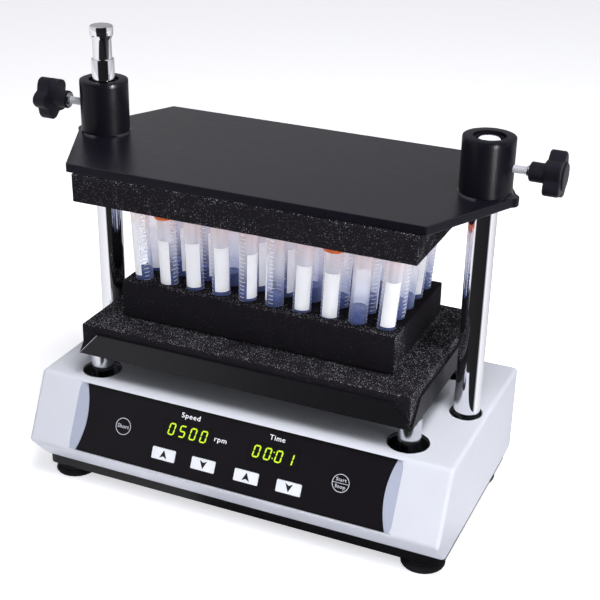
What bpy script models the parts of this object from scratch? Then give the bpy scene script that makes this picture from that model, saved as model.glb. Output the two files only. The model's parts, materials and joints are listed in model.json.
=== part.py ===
"""Multi-tube vortex mixer, modelled as its separate pieces.

Frame: +Z up, +X to the user's right, the user stands at -Y. The origin is on the table,
under the centre of the whole footprint. Inside that frame every piece hangs from the empty
"mixer", whose own origin is the orbiting table's centre at table level.
"""

import math

import bmesh
import bpy
from mathutils import Matrix, Vector

MM = 0.001
GAP = 0.3 * MM  # clearance between neighbouring pieces

# Housing, as a profile in Y and Z that runs the full width in X
HOUSING_WIDTH = 426 * MM
HOUSING_TOP = 112 * MM
HOUSING_BOTTOM = 19.1 * MM
HOUSING_BACK_Y = 107.6 * MM
RIDGE_Y = -103.3 * MM
NOSE_Y = -134.8 * MM
NOSE_Z = 47.7 * MM
CHIN_Y = -109.3 * MM
WALL = 3 * MM
SLOPE_WALL = 7.5 * MM
HOUSING_ROUND = 3.6 * MM

# Base plate and feet
BASE_BOTTOM = 9 * MM
BASE_WIDTH = 418 * MM
BASE_FRONT_Y = -108 * MM
BASE_BACK_Y = 103.5 * MM
BASE_SHEET = 2 * MM
FOOT_X = 187 * MM
FOOT_FRONT_Y = -92 * MM
FOOT_BACK_Y = 68 * MM
FOOT_RADIUS = 21 * MM

# Orbit drive
ORBIT_RADIUS = 1.8 * MM
DRIVE_Y = -ORBIT_RADIUS  # the drive axis; the crank pin stands at Y = 0 at rest
IDLER_X = 120 * MM
MOTOR_X = 62 * MM
MOTOR_Y = 50 * MM
DRIVE_PULLEY_RADIUS = 30 * MM
MOTOR_PULLEY_RADIUS = 18 * MM
PULLEY_BOTTOM = 62 * MM
PULLEY_HEIGHT = 12 * MM
ORBIT_PLATE_BOTTOM = 85 * MM
ORBIT_PLATE_THICK = 6 * MM

# Posts
SUPPORT_POST_X = 161 * MM
SUPPORT_POST_Y = 74.7 * MM
SUPPORT_POST_RADIUS = 11 * MM
SUPPORT_HOLE_RADIUS = 19.5 * MM
CLAMP_POST_X = 192 * MM
CLAMP_POST_RADIUS = 12.5 * MM
CLAMP_HOLE_RADIUS = 15.5 * MM
POST_SHOULDER_Z = HOUSING_TOP + 250 * MM
RIGHT_POST_TOP = HOUSING_TOP + 265 * MM
LEFT_NECK_BOTTOM = HOUSING_TOP + 291.7 * MM
LEFT_NECK_TOP = HOUSING_TOP + 310 * MM
LEFT_POST_TOP = HOUSING_TOP + 323.4 * MM

# Tray, foams and clamp
TRAY_BOTTOM = HOUSING_TOP + 26.4 * MM
TRAY_HEIGHT = 23.1 * MM
TRAY_SHEET = 1.8 * MM
TRAY_SIZE = (342 * MM, 199.2 * MM)
TRAY_CORNER_CUT = 21 * MM
BASE_FOAM_SIZE = (336 * MM, 195 * MM)
BASE_FOAM_TOP = HOUSING_TOP + 57.6 * MM
TUBE_FOAM_SIZE = (280 * MM, 132.6 * MM)
TUBE_FOAM_TOP = HOUSING_TOP + 96.7 * MM
TOP_FOAM_SIZE = (334.8 * MM, 203 * MM)
TOP_FOAM_BOTTOM = HOUSING_TOP + 183.9 * MM
PLATE_BOTTOM = HOUSING_TOP + 211.9 * MM
PLATE_TOP = HOUSING_TOP + 220.3 * MM
PLATE_TIP_X = 222.5 * MM
PLATE_SHOULDER_X = 171 * MM
PLATE_EDGE_Y = 101 * MM
COLLAR_TOP = HOUSING_TOP + 271.6 * MM
COLLAR_RADIUS = 23.5 * MM
COLLAR_BORE = CLAMP_POST_RADIUS + 0.4 * MM

# Clamp screws: their axis runs along X through the collars
SCREW_Z = HOUSING_TOP + 245.3 * MM
SCREW_RADIUS = 3.8 * MM
PAD_THICK = 2 * MM
RIGHT_HUB_X = 229.9 * MM
LEFT_HUB_X = 232.6 * MM
KNOB_RADIUS = 21.35 * MM
KNOB_VALLEY = 15.8 * MM
KNOB_LOBES = 5

# Keypad panel, in the slope's own frame: X along the width, -Y down the slope, Z outward
SLOPE_VECTOR = Vector((NOSE_Y - RIDGE_Y, NOSE_Z - HOUSING_TOP))
SLOPE_TILT = math.atan2(-SLOPE_VECTOR.y, -SLOPE_VECTOR.x)
RECESS_HALF_X = 167.8 * MM
RECESS_TOP = 2.5 * MM
RECESS_BOTTOM = 69.5 * MM
RAMP_DEPTH = 2.6 * MM
PANEL_THICK = 1.8 * MM
PANEL_END_X = 161.3 * MM
PANEL_MID_X = 154.9 * MM
KEY_TRAVEL = 0.5 * MM
ROUND_KEYS = {"short_button": (-114.4, 35.6, 8.4), "start_stop_button": (112.6, 36.3, 8.5)}
ARROW_KEYS = {
    "speed_up_button": (-66.5, 52.0),
    "speed_down_button": (-24.2, 52.1),
    "time_up_button": (21.0, 52.6),
    "time_down_button": (64.3, 52.5),
}
ARROW_KEY_SIZE = (24.8 * MM, 11.4 * MM)
DISPLAYS = {"speed_display": (-45.9, 26.4), "time_display": (43.4, 26.9)}
DISPLAY_WINDOW = (50 * MM, 17 * MM)

# Rear panel, in its own frame: X to the left of the housing, Y up, Z outward
REAR_CENTRE_Z = 56 * MM
INLET_U = 150 * MM
SWITCH_U = 95 * MM
ROCKER_TILT = math.radians(10)

SEGMENTS = 32  # round each large circle
FINE_SEGMENTS = 20  # round each small circle

PALETTE = {
    "housing_paint": ((0.66, 0.69, 0.76), 0.35, 0.1),
    "black_sheet": ((0.015, 0.015, 0.02), 0.45, 0.2),
    "black_anodised": ((0.012, 0.012, 0.016), 0.35, 0.5),
    "panel_gloss": ((0.013, 0.011, 0.013), 0.15, 0.0),
    "key_white": ((0.85, 0.86, 0.88), 0.4, 0.0),
    "display_lens": ((0.02, 0.02, 0.02), 0.1, 0.0),
    "chrome": ((0.85, 0.86, 0.88), 0.06, 1.0),
    "satin_steel": ((0.6, 0.61, 0.64), 0.3, 1.0),
    "machined_aluminium": ((0.72, 0.73, 0.75), 0.35, 1.0),
    "black_foam": ((0.02, 0.02, 0.025), 0.95, 0.0),
    "black_rubber": ((0.015, 0.015, 0.015), 0.8, 0.0),
    "knob_plastic": ((0.012, 0.012, 0.014), 0.5, 0.0),
    "brass": ((0.75, 0.58, 0.3), 0.3, 1.0),
    "circuit_board": ((0.02, 0.18, 0.09), 0.5, 0.0),
    "cable_sheath": ((0.03, 0.03, 0.03), 0.6, 0.0),
    "ribbon_grey": ((0.5, 0.5, 0.52), 0.6, 0.0),
    "motor_steel": ((0.35, 0.36, 0.38), 0.4, 0.9),
    "zinc_sheet": ((0.62, 0.63, 0.62), 0.4, 0.9),
}

# (x, y, z) -> (z, x, y): lays an outline drawn in Y and Z across the width
ACROSS = Matrix(((0, 0, 1), (1, 0, 0), (0, 1, 0))).to_4x4()
FACING_RIGHT = (0, math.radians(90), 0)
FACING_LEFT = (0, math.radians(-90), 0)


# ---------------------------------------------------------------- shared tools


def clear_scene():
    for obj in list(bpy.data.objects):
        bpy.data.objects.remove(obj, do_unlink=True)


def make_materials():
    made = {}
    for name, (colour, roughness, metallic) in PALETTE.items():
        material = bpy.data.materials.new(name)
        material.use_nodes = True
        shader = material.node_tree.nodes["Principled BSDF"]
        shader.inputs["Base Color"].default_value = (*colour, 1)
        shader.inputs["Roughness"].default_value = roughness
        shader.inputs["Metallic"].default_value = metallic
        made[name] = material
    return made


def add_empty(name, parent=None, location=(0, 0, 0), rotation=(0, 0, 0)):
    empty = bpy.data.objects.new(name, None)
    bpy.context.scene.collection.objects.link(empty)
    empty.parent = parent
    empty.location = location
    empty.rotation_euler = rotation
    return empty


def place(name, bm, parent, material=None, location=(0, 0, 0), rotation=(0, 0, 0)):
    """Turns a bmesh into a named object with outward faces, smooth except at real edges."""
    bmesh.ops.recalc_face_normals(bm, faces=bm.faces)
    if bm.calc_volume(signed=True) < 0:
        bmesh.ops.reverse_faces(bm, faces=bm.faces)
    mesh = bpy.data.meshes.new(name)
    bm.to_mesh(mesh)
    bm.free()
    mesh.shade_smooth()
    mesh.set_sharp_from_angle(angle=math.radians(32))
    obj = bpy.data.objects.new(name, mesh)
    bpy.context.scene.collection.objects.link(obj)
    obj.parent = parent
    obj.location = location
    obj.rotation_euler = rotation
    if material:
        obj.data.materials.append(MATERIALS[material])
    return obj


def block(size, centre=(0, 0, 0)):
    bm = bmesh.new()
    add_block(bm, size, centre)
    return bm


def add_block(bm, size, centre):
    placing = Matrix.Translation(centre) @ Matrix.Diagonal((*size, 1))
    bmesh.ops.create_cube(bm, size=1.0, matrix=placing)


def turned(profile, steps=SEGMENTS):
    """Spins a profile of (radius, height) points round Z. It closes on itself or on the axis."""
    bm = bmesh.new()
    points = [bm.verts.new((radius, 0, height)) for radius, height in profile]
    edges = [bm.edges.new(pair) for pair in zip(points, points[1:])]
    if profile[0][0] > 0 or profile[-1][0] > 0:
        edges.append(bm.edges.new((points[-1], points[0])))
    bmesh.ops.spin(
        bm,
        geom=points + edges,
        cent=(0, 0, 0),
        axis=(0, 0, 1),
        angle=2 * math.pi,
        steps=steps,
        use_merge=True,
    )
    bmesh.ops.remove_doubles(bm, verts=bm.verts, dist=1e-6)
    return bm


def cylinder(radius, low, high, steps=FINE_SEGMENTS):
    return turned([(0, low), (radius, low), (radius, high), (0, high)], steps)


def ring(inner, outer, low, high, steps=FINE_SEGMENTS):
    return turned([(inner, low), (outer, low), (outer, high), (inner, high)], steps)


def extruded(outline, low, high):
    """A flat outline in X and Y, pulled up from low to high."""
    bm = bmesh.new()
    face = bm.faces.new([bm.verts.new((x, y, low)) for x, y in outline])
    pulled = bmesh.ops.extrude_face_region(bm, geom=[face])["geom"]
    moved = [item for item in pulled if isinstance(item, bmesh.types.BMVert)]
    bmesh.ops.translate(bm, verts=moved, vec=(0, 0, high - low))
    return bm


def lofted(loops):
    """Joins closed loops of equal length, one after another, and closes the first and last."""
    bm = bmesh.new()
    rows = [[bm.verts.new(point) for point in loop] for loop in loops]
    for lower, upper in zip(rows, rows[1:]):
        for i in range(len(lower)):
            j = (i + 1) % len(lower)
            bm.faces.new((lower[i], lower[j], upper[j], upper[i]))
    bm.faces.new(rows[0])
    bm.faces.new(rows[-1])
    return bm


def merge(bm, other, matrix=None):
    """Adds another bmesh's shapes to bm, moved by matrix."""
    mesh = bpy.data.meshes.new("scratch")
    other.to_mesh(mesh)
    other.free()
    if matrix:
        mesh.transform(matrix)
    bm.from_mesh(mesh)
    bpy.data.meshes.remove(mesh)


def round_edges(obj, width, segments=2, angle=30):
    bevel = obj.modifiers.new("rounded_edges", "BEVEL")
    bevel.width = width
    bevel.segments = segments
    bevel.limit_method = "ANGLE"
    bevel.angle_limit = math.radians(angle)
    bevel.use_clamp_overlap = True


def combine(obj, tool, operation):
    boolean = obj.modifiers.new(tool.name, "BOOLEAN")
    boolean.operation = operation
    boolean.solver = "EXACT"
    boolean.object = tool
    tool.hide_render = True
    tool.display_type = "WIRE"


def cut(obj, name, bm, location=(0, 0, 0), rotation=(0, 0, 0), parent=None):
    tool = place("cut_" + name, bm, parent or obj.parent, None, location, rotation)
    combine(obj, tool, "DIFFERENCE")
    return tool


def weld(obj, name, bm, location=(0, 0, 0), rotation=(0, 0, 0), parent=None):
    tool = place("add_" + name, bm, parent or obj.parent, None, location, rotation)
    combine(obj, tool, "UNION")
    return tool


def arc(centre, radius, start, end, count):
    """Points on a circle from start to end degrees."""
    angles = [math.radians(start + (end - start) * i / count) for i in range(count + 1)]
    return [(centre[0] + radius * math.cos(a), centre[1] + radius * math.sin(a)) for a in angles]


def rounded_rectangle(width, height, radius, centre=(0, 0), count=3):
    x = width / 2 - radius
    y = height / 2 - radius
    corners = [(x, y, 0), (-x, y, 90), (-x, -y, 180), (x, -y, 270)]
    outline = []
    for cx, cy, start in corners:
        outline += arc((centre[0] + cx, centre[1] + cy), radius, start, start + 90, count)
    return outline


# ---------------------------------------------------------------- housing and base


def housing_profile(wall=0.0, slope_wall=0.0, bottom=HOUSING_BOTTOM):
    """The housing's outline in Y and Z, moved in by the wall thickness on each side."""
    slope = SLOPE_VECTOR.normalized()
    inward = Vector((-slope.y, slope.x))
    on_slope = Vector((RIDGE_Y, HOUSING_TOP)) + inward * slope_wall
    chin = Vector((CHIN_Y - NOSE_Y, HOUSING_BOTTOM - NOSE_Z)).normalized()
    chin_inward = Vector((-chin.y, chin.x))
    on_chin = Vector((NOSE_Y, NOSE_Z)) + chin_inward * wall
    top = HOUSING_TOP - wall
    ridge = on_slope + slope * ((top - on_slope.y) / slope.y)
    across = slope.x * chin.y - slope.y * chin.x
    step = ((on_chin.x - on_slope.x) * chin.y - (on_chin.y - on_slope.y) * chin.x) / across
    nose = on_slope + slope * step
    foot = on_chin + chin * ((bottom - on_chin.y) / chin.y)
    back = HOUSING_BACK_Y - wall
    return [tuple(ridge), tuple(nose), tuple(foot), (back, bottom), (back, top)]


def slope_outline(end_x, mid_x, top, bottom, corner=0.0, count=12):
    """A long outline on the slope whose two ends run through end_x and, halfway, mid_x."""
    centre = -(top + bottom) / 2
    half = (bottom - top) / 2
    right = []
    for i in range(count + 1):
        t = -1 + 2 * i / count
        trim = corner * max(0.0, abs(t) - 0.8) / 0.2
        right.append((mid_x + (end_x - mid_x) * t * t - trim * abs(t), centre + half * t))
    left = [(-x, y) for x, y in reversed(right)]
    return right + left


def recess_cutter():
    """The keypad recess: curved ramps at both ends, then a straight-sided seat for the panel."""
    seat = slope_outline(PANEL_END_X, PANEL_MID_X, RECESS_TOP, RECESS_BOTTOM)
    rim = slope_outline(RECESS_HALF_X, RECESS_HALF_X, RECESS_TOP, RECESS_BOTTOM, 2 * MM)
    floor = RAMP_DEPTH + PANEL_THICK + 2 * GAP
    levels = [(seat, -floor), (seat, -RAMP_DEPTH), (rim, 0), (rim, 4 * MM)]
    return lofted([[(x, y, z) for x, y in outline] for outline, z in levels])


def build_housing(mixer, slope, rear):
    """One-piece top shell, open below, with the post holes, keypad recess and rear openings."""
    half = HOUSING_WIDTH / 2
    bm = extruded(housing_profile(), -half, half)
    bm.transform(ACROSS)
    housing = place("top_housing", bm, mixer, "housing_paint")
    round_edges(housing, HOUSING_ROUND, 3, 20)
    inner_profile = housing_profile(WALL, SLOPE_WALL, HOUSING_BOTTOM - 6 * MM)
    inner = extruded(inner_profile, -half + WALL, half - WALL)
    inner.transform(ACROSS)
    cut(housing, "housing_inside", inner)
    holes = bmesh.new()
    low = HOUSING_TOP - 2 * WALL
    high = HOUSING_TOP + WALL
    for side in (-1, 1):
        at = Matrix.Translation((side * CLAMP_POST_X, DRIVE_Y, 0))
        merge(holes, cylinder(CLAMP_HOLE_RADIUS, low, high, SEGMENTS), at)
        for end in (-1, 1):
            at = Matrix.Translation((side * SUPPORT_POST_X, DRIVE_Y + end * SUPPORT_POST_Y, 0))
            merge(holes, cylinder(SUPPORT_HOLE_RADIUS, low, high, SEGMENTS), at)
    cut(housing, "post_holes", holes)
    cut(housing, "keypad_recess", recess_cutter(), parent=slope)
    window = block((300 * MM, 54 * MM, 2 * SLOPE_WALL), (0, -36 * MM, -SLOPE_WALL))
    cut(housing, "keypad_window", window, parent=slope)
    rear_holes = block((28.2 * MM, 48.2 * MM, 4 * WALL), (INLET_U, 0, 0))
    add_block(rear_holes, (14 * MM, 21.4 * MM, 4 * WALL), (SWITCH_U, 0, 0))
    for i in range(6):
        add_block(rear_holes, (3 * MM, 26 * MM, 4 * WALL), (-95 * MM - i * 9 * MM, 0, 0))
    cut(housing, "rear_openings", rear_holes, parent=rear)


def build_base(mixer):
    """Pressed pan that closes the housing from below, with standoffs for the control board."""
    depth = BASE_BACK_Y - BASE_FRONT_Y
    middle = (BASE_BACK_Y + BASE_FRONT_Y) / 2
    height = HOUSING_BOTTOM - GAP - BASE_BOTTOM
    outline = rounded_rectangle(BASE_WIDTH, depth, 6 * MM)
    at = (0, middle, BASE_BOTTOM)
    base = place("base_plate", extruded(outline, 0, height), mixer, "black_sheet", at)
    inner = rounded_rectangle(BASE_WIDTH - 2 * BASE_SHEET, depth - 2 * BASE_SHEET, 4 * MM)
    cut(base, "base_inside", extruded(inner, BASE_SHEET, 2 * height), at)
    bosses = bmesh.new()
    for x in (-86 * MM, 86 * MM):
        for y in (-92 * MM, -44 * MM):
            merge(bosses, cylinder(3 * MM, 10 * MM, 17.7 * MM, 12), Matrix.Translation((x, y, 0)))
    weld(base, "board_standoffs", bosses)


def build_feet(mixer):
    """Rubber suction feet: a wide lip on the table, a waist, and a shoulder under the base plate."""
    top = BASE_BOTTOM - GAP
    profile = [
        (0, 1.2 * MM),
        (15 * MM, 1.2 * MM),
        (16 * MM, 0),
        (FOOT_RADIUS - 0.6 * MM, 0),
        (FOOT_RADIUS, 1 * MM),
        (FOOT_RADIUS - 2 * MM, 3 * MM),
        (15 * MM, 4.4 * MM),
        (15.5 * MM, 6 * MM),
        (17 * MM, 7 * MM),
        (17 * MM, top),
        (0, top),
    ]
    for side, x in (("left", -FOOT_X), ("right", FOOT_X)):
        for end, y in (("front", FOOT_FRONT_Y), ("rear", FOOT_BACK_Y)):
            place(f"foot_{end}_{side}", turned(profile, 22), mixer, "black_rubber", (x, y, 0))


# ---------------------------------------------------------------- keypad


def panel_level():
    """Height of the panel's front face in the slope frame."""
    return -RAMP_DEPTH - GAP


def build_panel(slope):
    front = panel_level()
    back = front - PANEL_THICK
    end = PANEL_END_X - GAP
    middle = PANEL_MID_X - GAP
    outline = slope_outline(end, middle, RECESS_TOP + GAP, RECESS_BOTTOM - GAP)
    panel = place("front_panel", extruded(outline, back, front), slope, "panel_gloss")
    openings = bmesh.new()
    low = back - MM
    high = front + MM
    for x, s, radius in ROUND_KEYS.values():
        at = Matrix.Translation((x * MM, -s * MM, 0))
        merge(openings, cylinder(radius * MM + GAP, low, high, SEGMENTS), at)
    for x, s in ARROW_KEYS.values():
        width, height = ARROW_KEY_SIZE
        hole = rounded_rectangle(width + 2 * GAP, height + 2 * GAP, 1.3 * MM, (x * MM, -s * MM))
        merge(openings, extruded(hole, low, high))
    for x, s in DISPLAYS.values():
        width, height = DISPLAY_WINDOW
        hole = rounded_rectangle(width + 2 * GAP, height + 2 * GAP, 1.3 * MM, (x * MM, -s * MM))
        merge(openings, extruded(hole, low, high))
    cut(panel, "panel_openings", openings)


def key_levels():
    """Heights of a key's flange top, flange underside and stem end in the slope frame."""
    flange_top = panel_level() - PANEL_THICK - GAP
    flange_low = flange_top - 1 * MM
    return flange_top, flange_low, flange_low - 0.8 * MM


def build_keys(slope):
    """Key caps flush with the panel; a flange behind the panel keeps each one in."""
    front = panel_level()
    flange_top, flange_low, stem_low = key_levels()
    for name, (x, s, radius) in ROUND_KEYS.items():
        r = radius * MM
        lip = r + 1.6 * MM
        outline = [
            (0, stem_low),
            (3 * MM, stem_low),
            (3 * MM, flange_low),
            (lip, flange_low),
            (lip, flange_top),
            (r, flange_top),
            (r, front),
            (0, front),
        ]
        place(name, turned(outline, SEGMENTS), slope, "panel_gloss", (x * MM, -s * MM, 0))
    width, height = ARROW_KEY_SIZE
    for name, (x, s) in ARROW_KEYS.items():
        cap = extruded(rounded_rectangle(width, height, 1 * MM), flange_top - 0.5 * MM, front)
        key = place(name, cap, slope, "key_white", (x * MM, -s * MM, 0))
        flange = block((width + 3 * MM, height + 3 * MM, 1 * MM), (0, 0, flange_top - 0.5 * MM))
        weld(key, name + "_flange", flange, (x * MM, -s * MM, 0))
        stem = block((6 * MM, 6 * MM, 1.4 * MM), (0, 0, stem_low + 0.7 * MM))
        weld(key, name + "_stem", stem, (x * MM, -s * MM, 0))


def build_displays(slope):
    """Seven-segment modules: a smoked lens fills the panel's window, a wider case sits behind."""
    front = panel_level()
    width, height = DISPLAY_WINDOW
    case_top = front - PANEL_THICK - GAP
    case_low = case_top - 3 * MM
    for name, (x, s) in DISPLAYS.items():
        lens = extruded(rounded_rectangle(width, height, 1 * MM), case_top - MM, front)
        display = place(name, lens, slope, "display_lens", (x * MM, -s * MM, 0))
        depth = case_top - case_low
        case = block((width + 3 * MM, height + 2 * MM, depth), (0, 0, case_low + depth / 2))
        weld(display, name + "_case", case, (x * MM, -s * MM, 0))


def build_display_board(slope):
    """Circuit board behind the keypad, with one tactile switch behind each key."""
    switch_top = key_levels()[-1] - KEY_TRAVEL - GAP
    top = switch_top - 1.2 * MM
    slab = extruded(rounded_rectangle(292 * MM, 50 * MM, 2 * MM), top - 1.6 * MM, top)
    board = place("display_board", slab, slope, "circuit_board", (0, -36 * MM, 0))
    switches = bmesh.new()
    centres = [(x, s) for x, s, _ in ROUND_KEYS.values()] + list(ARROW_KEYS.values())
    for x, s in centres:
        add_block(switches, (6 * MM, 6 * MM, 1.8 * MM), (x * MM, -s * MM, switch_top - 0.9 * MM))
    weld(board, "key_switches", switches)


# ---------------------------------------------------------------- electronics


def build_control_board(mixer):
    board = place(
        "control_board",
        block((184 * MM, 60 * MM, 1.6 * MM), (0, -68 * MM, 18.8 * MM)),
        mixer,
        "circuit_board",
    )
    parts = bmesh.new()
    add_block(parts, (40 * MM, 6 * MM, 26 * MM), (-55 * MM, -60 * MM, 32 * MM))
    add_block(parts, (14 * MM, 14 * MM, 3 * MM), (8 * MM, -70 * MM, 20.6 * MM))
    add_block(parts, (22 * MM, 6 * MM, 9 * MM), (0, -88 * MM, 23.6 * MM))
    add_block(parts, (16 * MM, 12 * MM, 14 * MM), (40 * MM, -84 * MM, 26 * MM))
    for x in (-20 * MM, 30 * MM, 45 * MM):
        merge(parts, cylinder(6 * MM, 19 * MM, 36 * MM, 16), Matrix.Translation((x, -54 * MM, 0)))
    weld(board, "board_components", parts)


def build_power_supply(mixer):
    supply = place(
        "power_supply",
        block((92 * MM, 62 * MM, 38 * MM), (-62 * MM, 56 * MM, 31 * MM)),
        mixer,
        "zinc_sheet",
    )
    round_edges(supply, 1.5 * MM, 1)
    vents = bmesh.new()
    for i in range(5):
        add_block(vents, (60 * MM, 3 * MM, 4 * MM), (-62 * MM, (38 + 9 * i) * MM, 50 * MM))
    cut(supply, "supply_vents", vents)


def cable(name, points, radius, parent, material):
    curve = bpy.data.curves.new(name, "CURVE")
    curve.dimensions = "3D"
    curve.bevel_depth = radius
    curve.bevel_resolution = 1
    curve.resolution_u = 4
    curve.use_fill_caps = True
    spline = curve.splines.new("BEZIER")
    spline.bezier_points.add(len(points) - 1)
    for knot, point in zip(spline.bezier_points, points):
        knot.co = Vector(point) * MM
        knot.handle_left_type = knot.handle_right_type = "AUTO"
    obj = bpy.data.objects.new(name, curve)
    bpy.context.scene.collection.objects.link(obj)
    obj.parent = parent
    obj.data.materials.append(MATERIALS[material])


def build_wiring(mixer):
    mains = [(-150, 80, 40), (-148, 72, 34), (-132, 64, 30), (-112, 62, 30)]
    cable("mains_cable", mains, 3 * MM, mixer, "cable_sheath")
    motor = [(70, -50, 22.6), (70, -40, 27), (70, -10, 27), (66, 21.5, 27)]
    cable("motor_cable", motor, 2.4 * MM, mixer, "cable_sheath")
    upper = [(-102, 76), (-98, 66), (-97, 50), (-92, 36), (-88, 28.6)]
    thick = 1.2 * MM
    front = [(y * MM, z * MM) for y, z in upper]
    back = [(y + thick, z + 0.2 * MM) for y, z in reversed(front)]
    ribbon = extruded(front + back, -11 * MM, 11 * MM)
    ribbon.transform(ACROSS)
    place("display_ribbon", ribbon, mixer, "ribbon_grey")


def rear_recess_plug(width, height, cut_corner):
    """The outline of an appliance inlet: a rectangle with its two lower corners cut."""
    x = width / 2
    y = height / 2
    upper = [(x, y), (-x, y)]
    lower = [(-x, -y + cut_corner), (-x + cut_corner, -y), (x - cut_corner, -y), (x, -y + cut_corner)]
    return upper + lower


def build_rear_inlet(rear, fuse_axis):
    """Mains inlet with its three blades, and above it the drawer that holds the fuses."""
    flange = extruded(rounded_rectangle(33 * MM, 53 * MM, 2 * MM), GAP, 2.4 * MM)
    inlet = place("power_inlet", flange, rear, "knob_plastic", (INLET_U, 0, 0))
    body = block((27.4 * MM, 47.4 * MM, 25 * MM), (0, 0, -11.5 * MM))
    weld(inlet, "inlet_body", body, (INLET_U, 0, 0))
    well = extruded(rear_recess_plug(24 * MM, 16.5 * MM, 4 * MM), -16 * MM, 5 * MM)
    cut(inlet, "inlet_well", well, (INLET_U, -10 * MM, 0))
    drawer_slot = block((22.6 * MM, 9.6 * MM, 22 * MM), (0, 0, -5 * MM))
    cut(inlet, "drawer_slot", drawer_slot, (INLET_U, 13 * MM, 0))
    blades = bmesh.new()
    for u, v in ((0, 2), (-7, -2), (7, -2)):
        add_block(blades, (2 * MM, 4 * MM, 14 * MM), (u * MM, v * MM, -10 * MM))
    weld(inlet, "inlet_blades", blades, (INLET_U, -10 * MM, 0))
    drawer = block((22 * MM, 9 * MM, 18 * MM), (0, 0, -6.4 * MM))
    fuse = place("fuse_drawer", drawer, fuse_axis, "knob_plastic")
    grip = block((12 * MM, 1.6 * MM, 1.6 * MM), (0, 2.6 * MM, 2.9 * MM))
    weld(fuse, "drawer_grip", grip)


def build_power_switch(rear, rocker_axis):
    frame = extruded(rounded_rectangle(17 * MM, 25 * MM, 1.5 * MM), GAP, 2 * MM)
    switch = place("switch_frame", frame, rear, "knob_plastic", (SWITCH_U, 0, 0))
    body = block((13.2 * MM, 20.8 * MM, 16 * MM), (0, 0, -7.2 * MM))
    weld(switch, "switch_body", body, (SWITCH_U, 0, 0))
    well = block((11.2 * MM, 18.8 * MM, 15 * MM), (0, 0, -5 * MM))
    cut(switch, "switch_well", well, (SWITCH_U, 0, 0))
    face = [(8.7 * MM, 3.2 * MM), (0, 1.8 * MM), (-8.7 * MM, 3.2 * MM)]
    outline = arc((0, 0), 8.6 * MM, 192, 348, 8) + face
    rocker = extruded(outline, -5.2 * MM, 5.2 * MM)
    rocker.transform(ACROSS)
    place("power_rocker", rocker, rocker_axis, "knob_plastic", rotation=(ROCKER_TILT, 0, 0))


# ---------------------------------------------------------------- orbit drive


def build_drive_block(mixer):
    """Bearing block on the base plate, with the two main bearings of the eccentric shaft."""
    low = BASE_BOTTOM + BASE_SHEET + GAP
    high = 58 * MM
    size = (44 * MM, 44 * MM, high - low)
    centre = (0, DRIVE_Y, (low + high) / 2)
    housing = place("drive_bearing_block", block(size, centre), mixer, "machined_aluminium")
    round_edges(housing, 2 * MM, 1)
    bore = cylinder(14.3 * MM, low - MM, high + MM, 28)
    cut(housing, "drive_bore", bore, (0, DRIVE_Y, 0))
    for name, z in (("main_bearing_lower", 15 * MM), ("main_bearing_upper", 48 * MM)):
        place(name, ring(6.3 * MM, 14 * MM, z, z + 8 * MM, 28), mixer, "satin_steel", (0, DRIVE_Y, 0))


def build_drive_shaft(drive):
    """Shaft whose crank pin stands ORBIT_RADIUS off its axis, with pulley and counterweight."""
    shaft = place("eccentric_shaft", cylinder(6 * MM, 12 * MM, 82 * MM, 24), drive, "satin_steel")
    pin = cylinder(5 * MM, 81.8 * MM, 92 * MM, 24)
    weld(shaft, "crank_pin", pin, (0, ORBIT_RADIUS, 0))
    pulley = pulley_body(DRIVE_PULLEY_RADIUS, 6.3 * MM, 28)
    place("drive_pulley", pulley, drive, "machined_aluminium", (0, 0, PULLEY_BOTTOM))
    hub = arc((0, 0), 12 * MM, 0, 180, 8)
    sector = arc((0, 0), 34 * MM, 200, 340, 14)
    weight = extruded(hub + sector, 74.4 * MM, 81.4 * MM)
    counterweight = place("counterweight", weight, drive, "satin_steel")
    cut(counterweight, "counterweight_bore", cylinder(6.3 * MM, 70 * MM, 86 * MM, 24))


def pulley_body(radius, bore, steps):
    flange = radius + 1.6 * MM
    lip = 1.2 * MM
    top = PULLEY_HEIGHT
    profile = [
        (bore, 0),
        (flange, 0),
        (flange, lip),
        (radius, lip),
        (radius, top - lip),
        (flange, top - lip),
        (flange, top),
        (bore, top),
    ]
    return turned(profile, steps)


def build_motor(mixer, rotor):
    body = [
        (0, 12.3 * MM),
        (24 * MM, 12.3 * MM),
        (28 * MM, 15 * MM),
        (28 * MM, 54 * MM),
        (26 * MM, 57 * MM),
        (5 * MM, 57 * MM),
        (5 * MM, 46 * MM),
        (0, 46 * MM),
    ]
    at = (MOTOR_X, MOTOR_Y, 0)
    place("motor", turned(body, 24), mixer, "motor_steel", at)
    plate = rounded_rectangle(68 * MM, 68 * MM, 4 * MM)
    bracket = place("motor_bracket", extruded(plate, 57.3 * MM, 60.3 * MM), mixer, "zinc_sheet", at)
    cut(bracket, "bracket_hole", cylinder(12 * MM, 56 * MM, 62 * MM, 24), at)
    legs = bmesh.new()
    for x in (-30 * MM, 30 * MM):
        for y in (-30 * MM, 30 * MM):
            add_block(legs, (7 * MM, 7 * MM, 47 * MM), (x, y, 34.8 * MM))
    weld(bracket, "bracket_legs", legs, at)
    low = PULLEY_BOTTOM
    lip = 1.2 * MM
    flange = MOTOR_PULLEY_RADIUS + 1.6 * MM
    high = low + PULLEY_HEIGHT
    profile = [
        (0, 47 * MM),
        (4 * MM, 47 * MM),
        (4 * MM, low),
        (flange, low),
        (flange, low + lip),
        (MOTOR_PULLEY_RADIUS, low + lip),
        (MOTOR_PULLEY_RADIUS, high - lip),
        (flange, high - lip),
        (flange, high),
        (0, high),
    ]
    place("motor_pulley", turned(profile, 28), rotor, "machined_aluminium")


def belt_loop(span, large, small, count=14):
    """The line of a belt round two pulleys, large at the origin and small at X = span."""
    wrap = math.degrees(math.acos((large - small) / span))
    return arc((0, 0), large, wrap, 360 - wrap, count) + arc((span, 0), small, -wrap, wrap, count)


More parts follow.
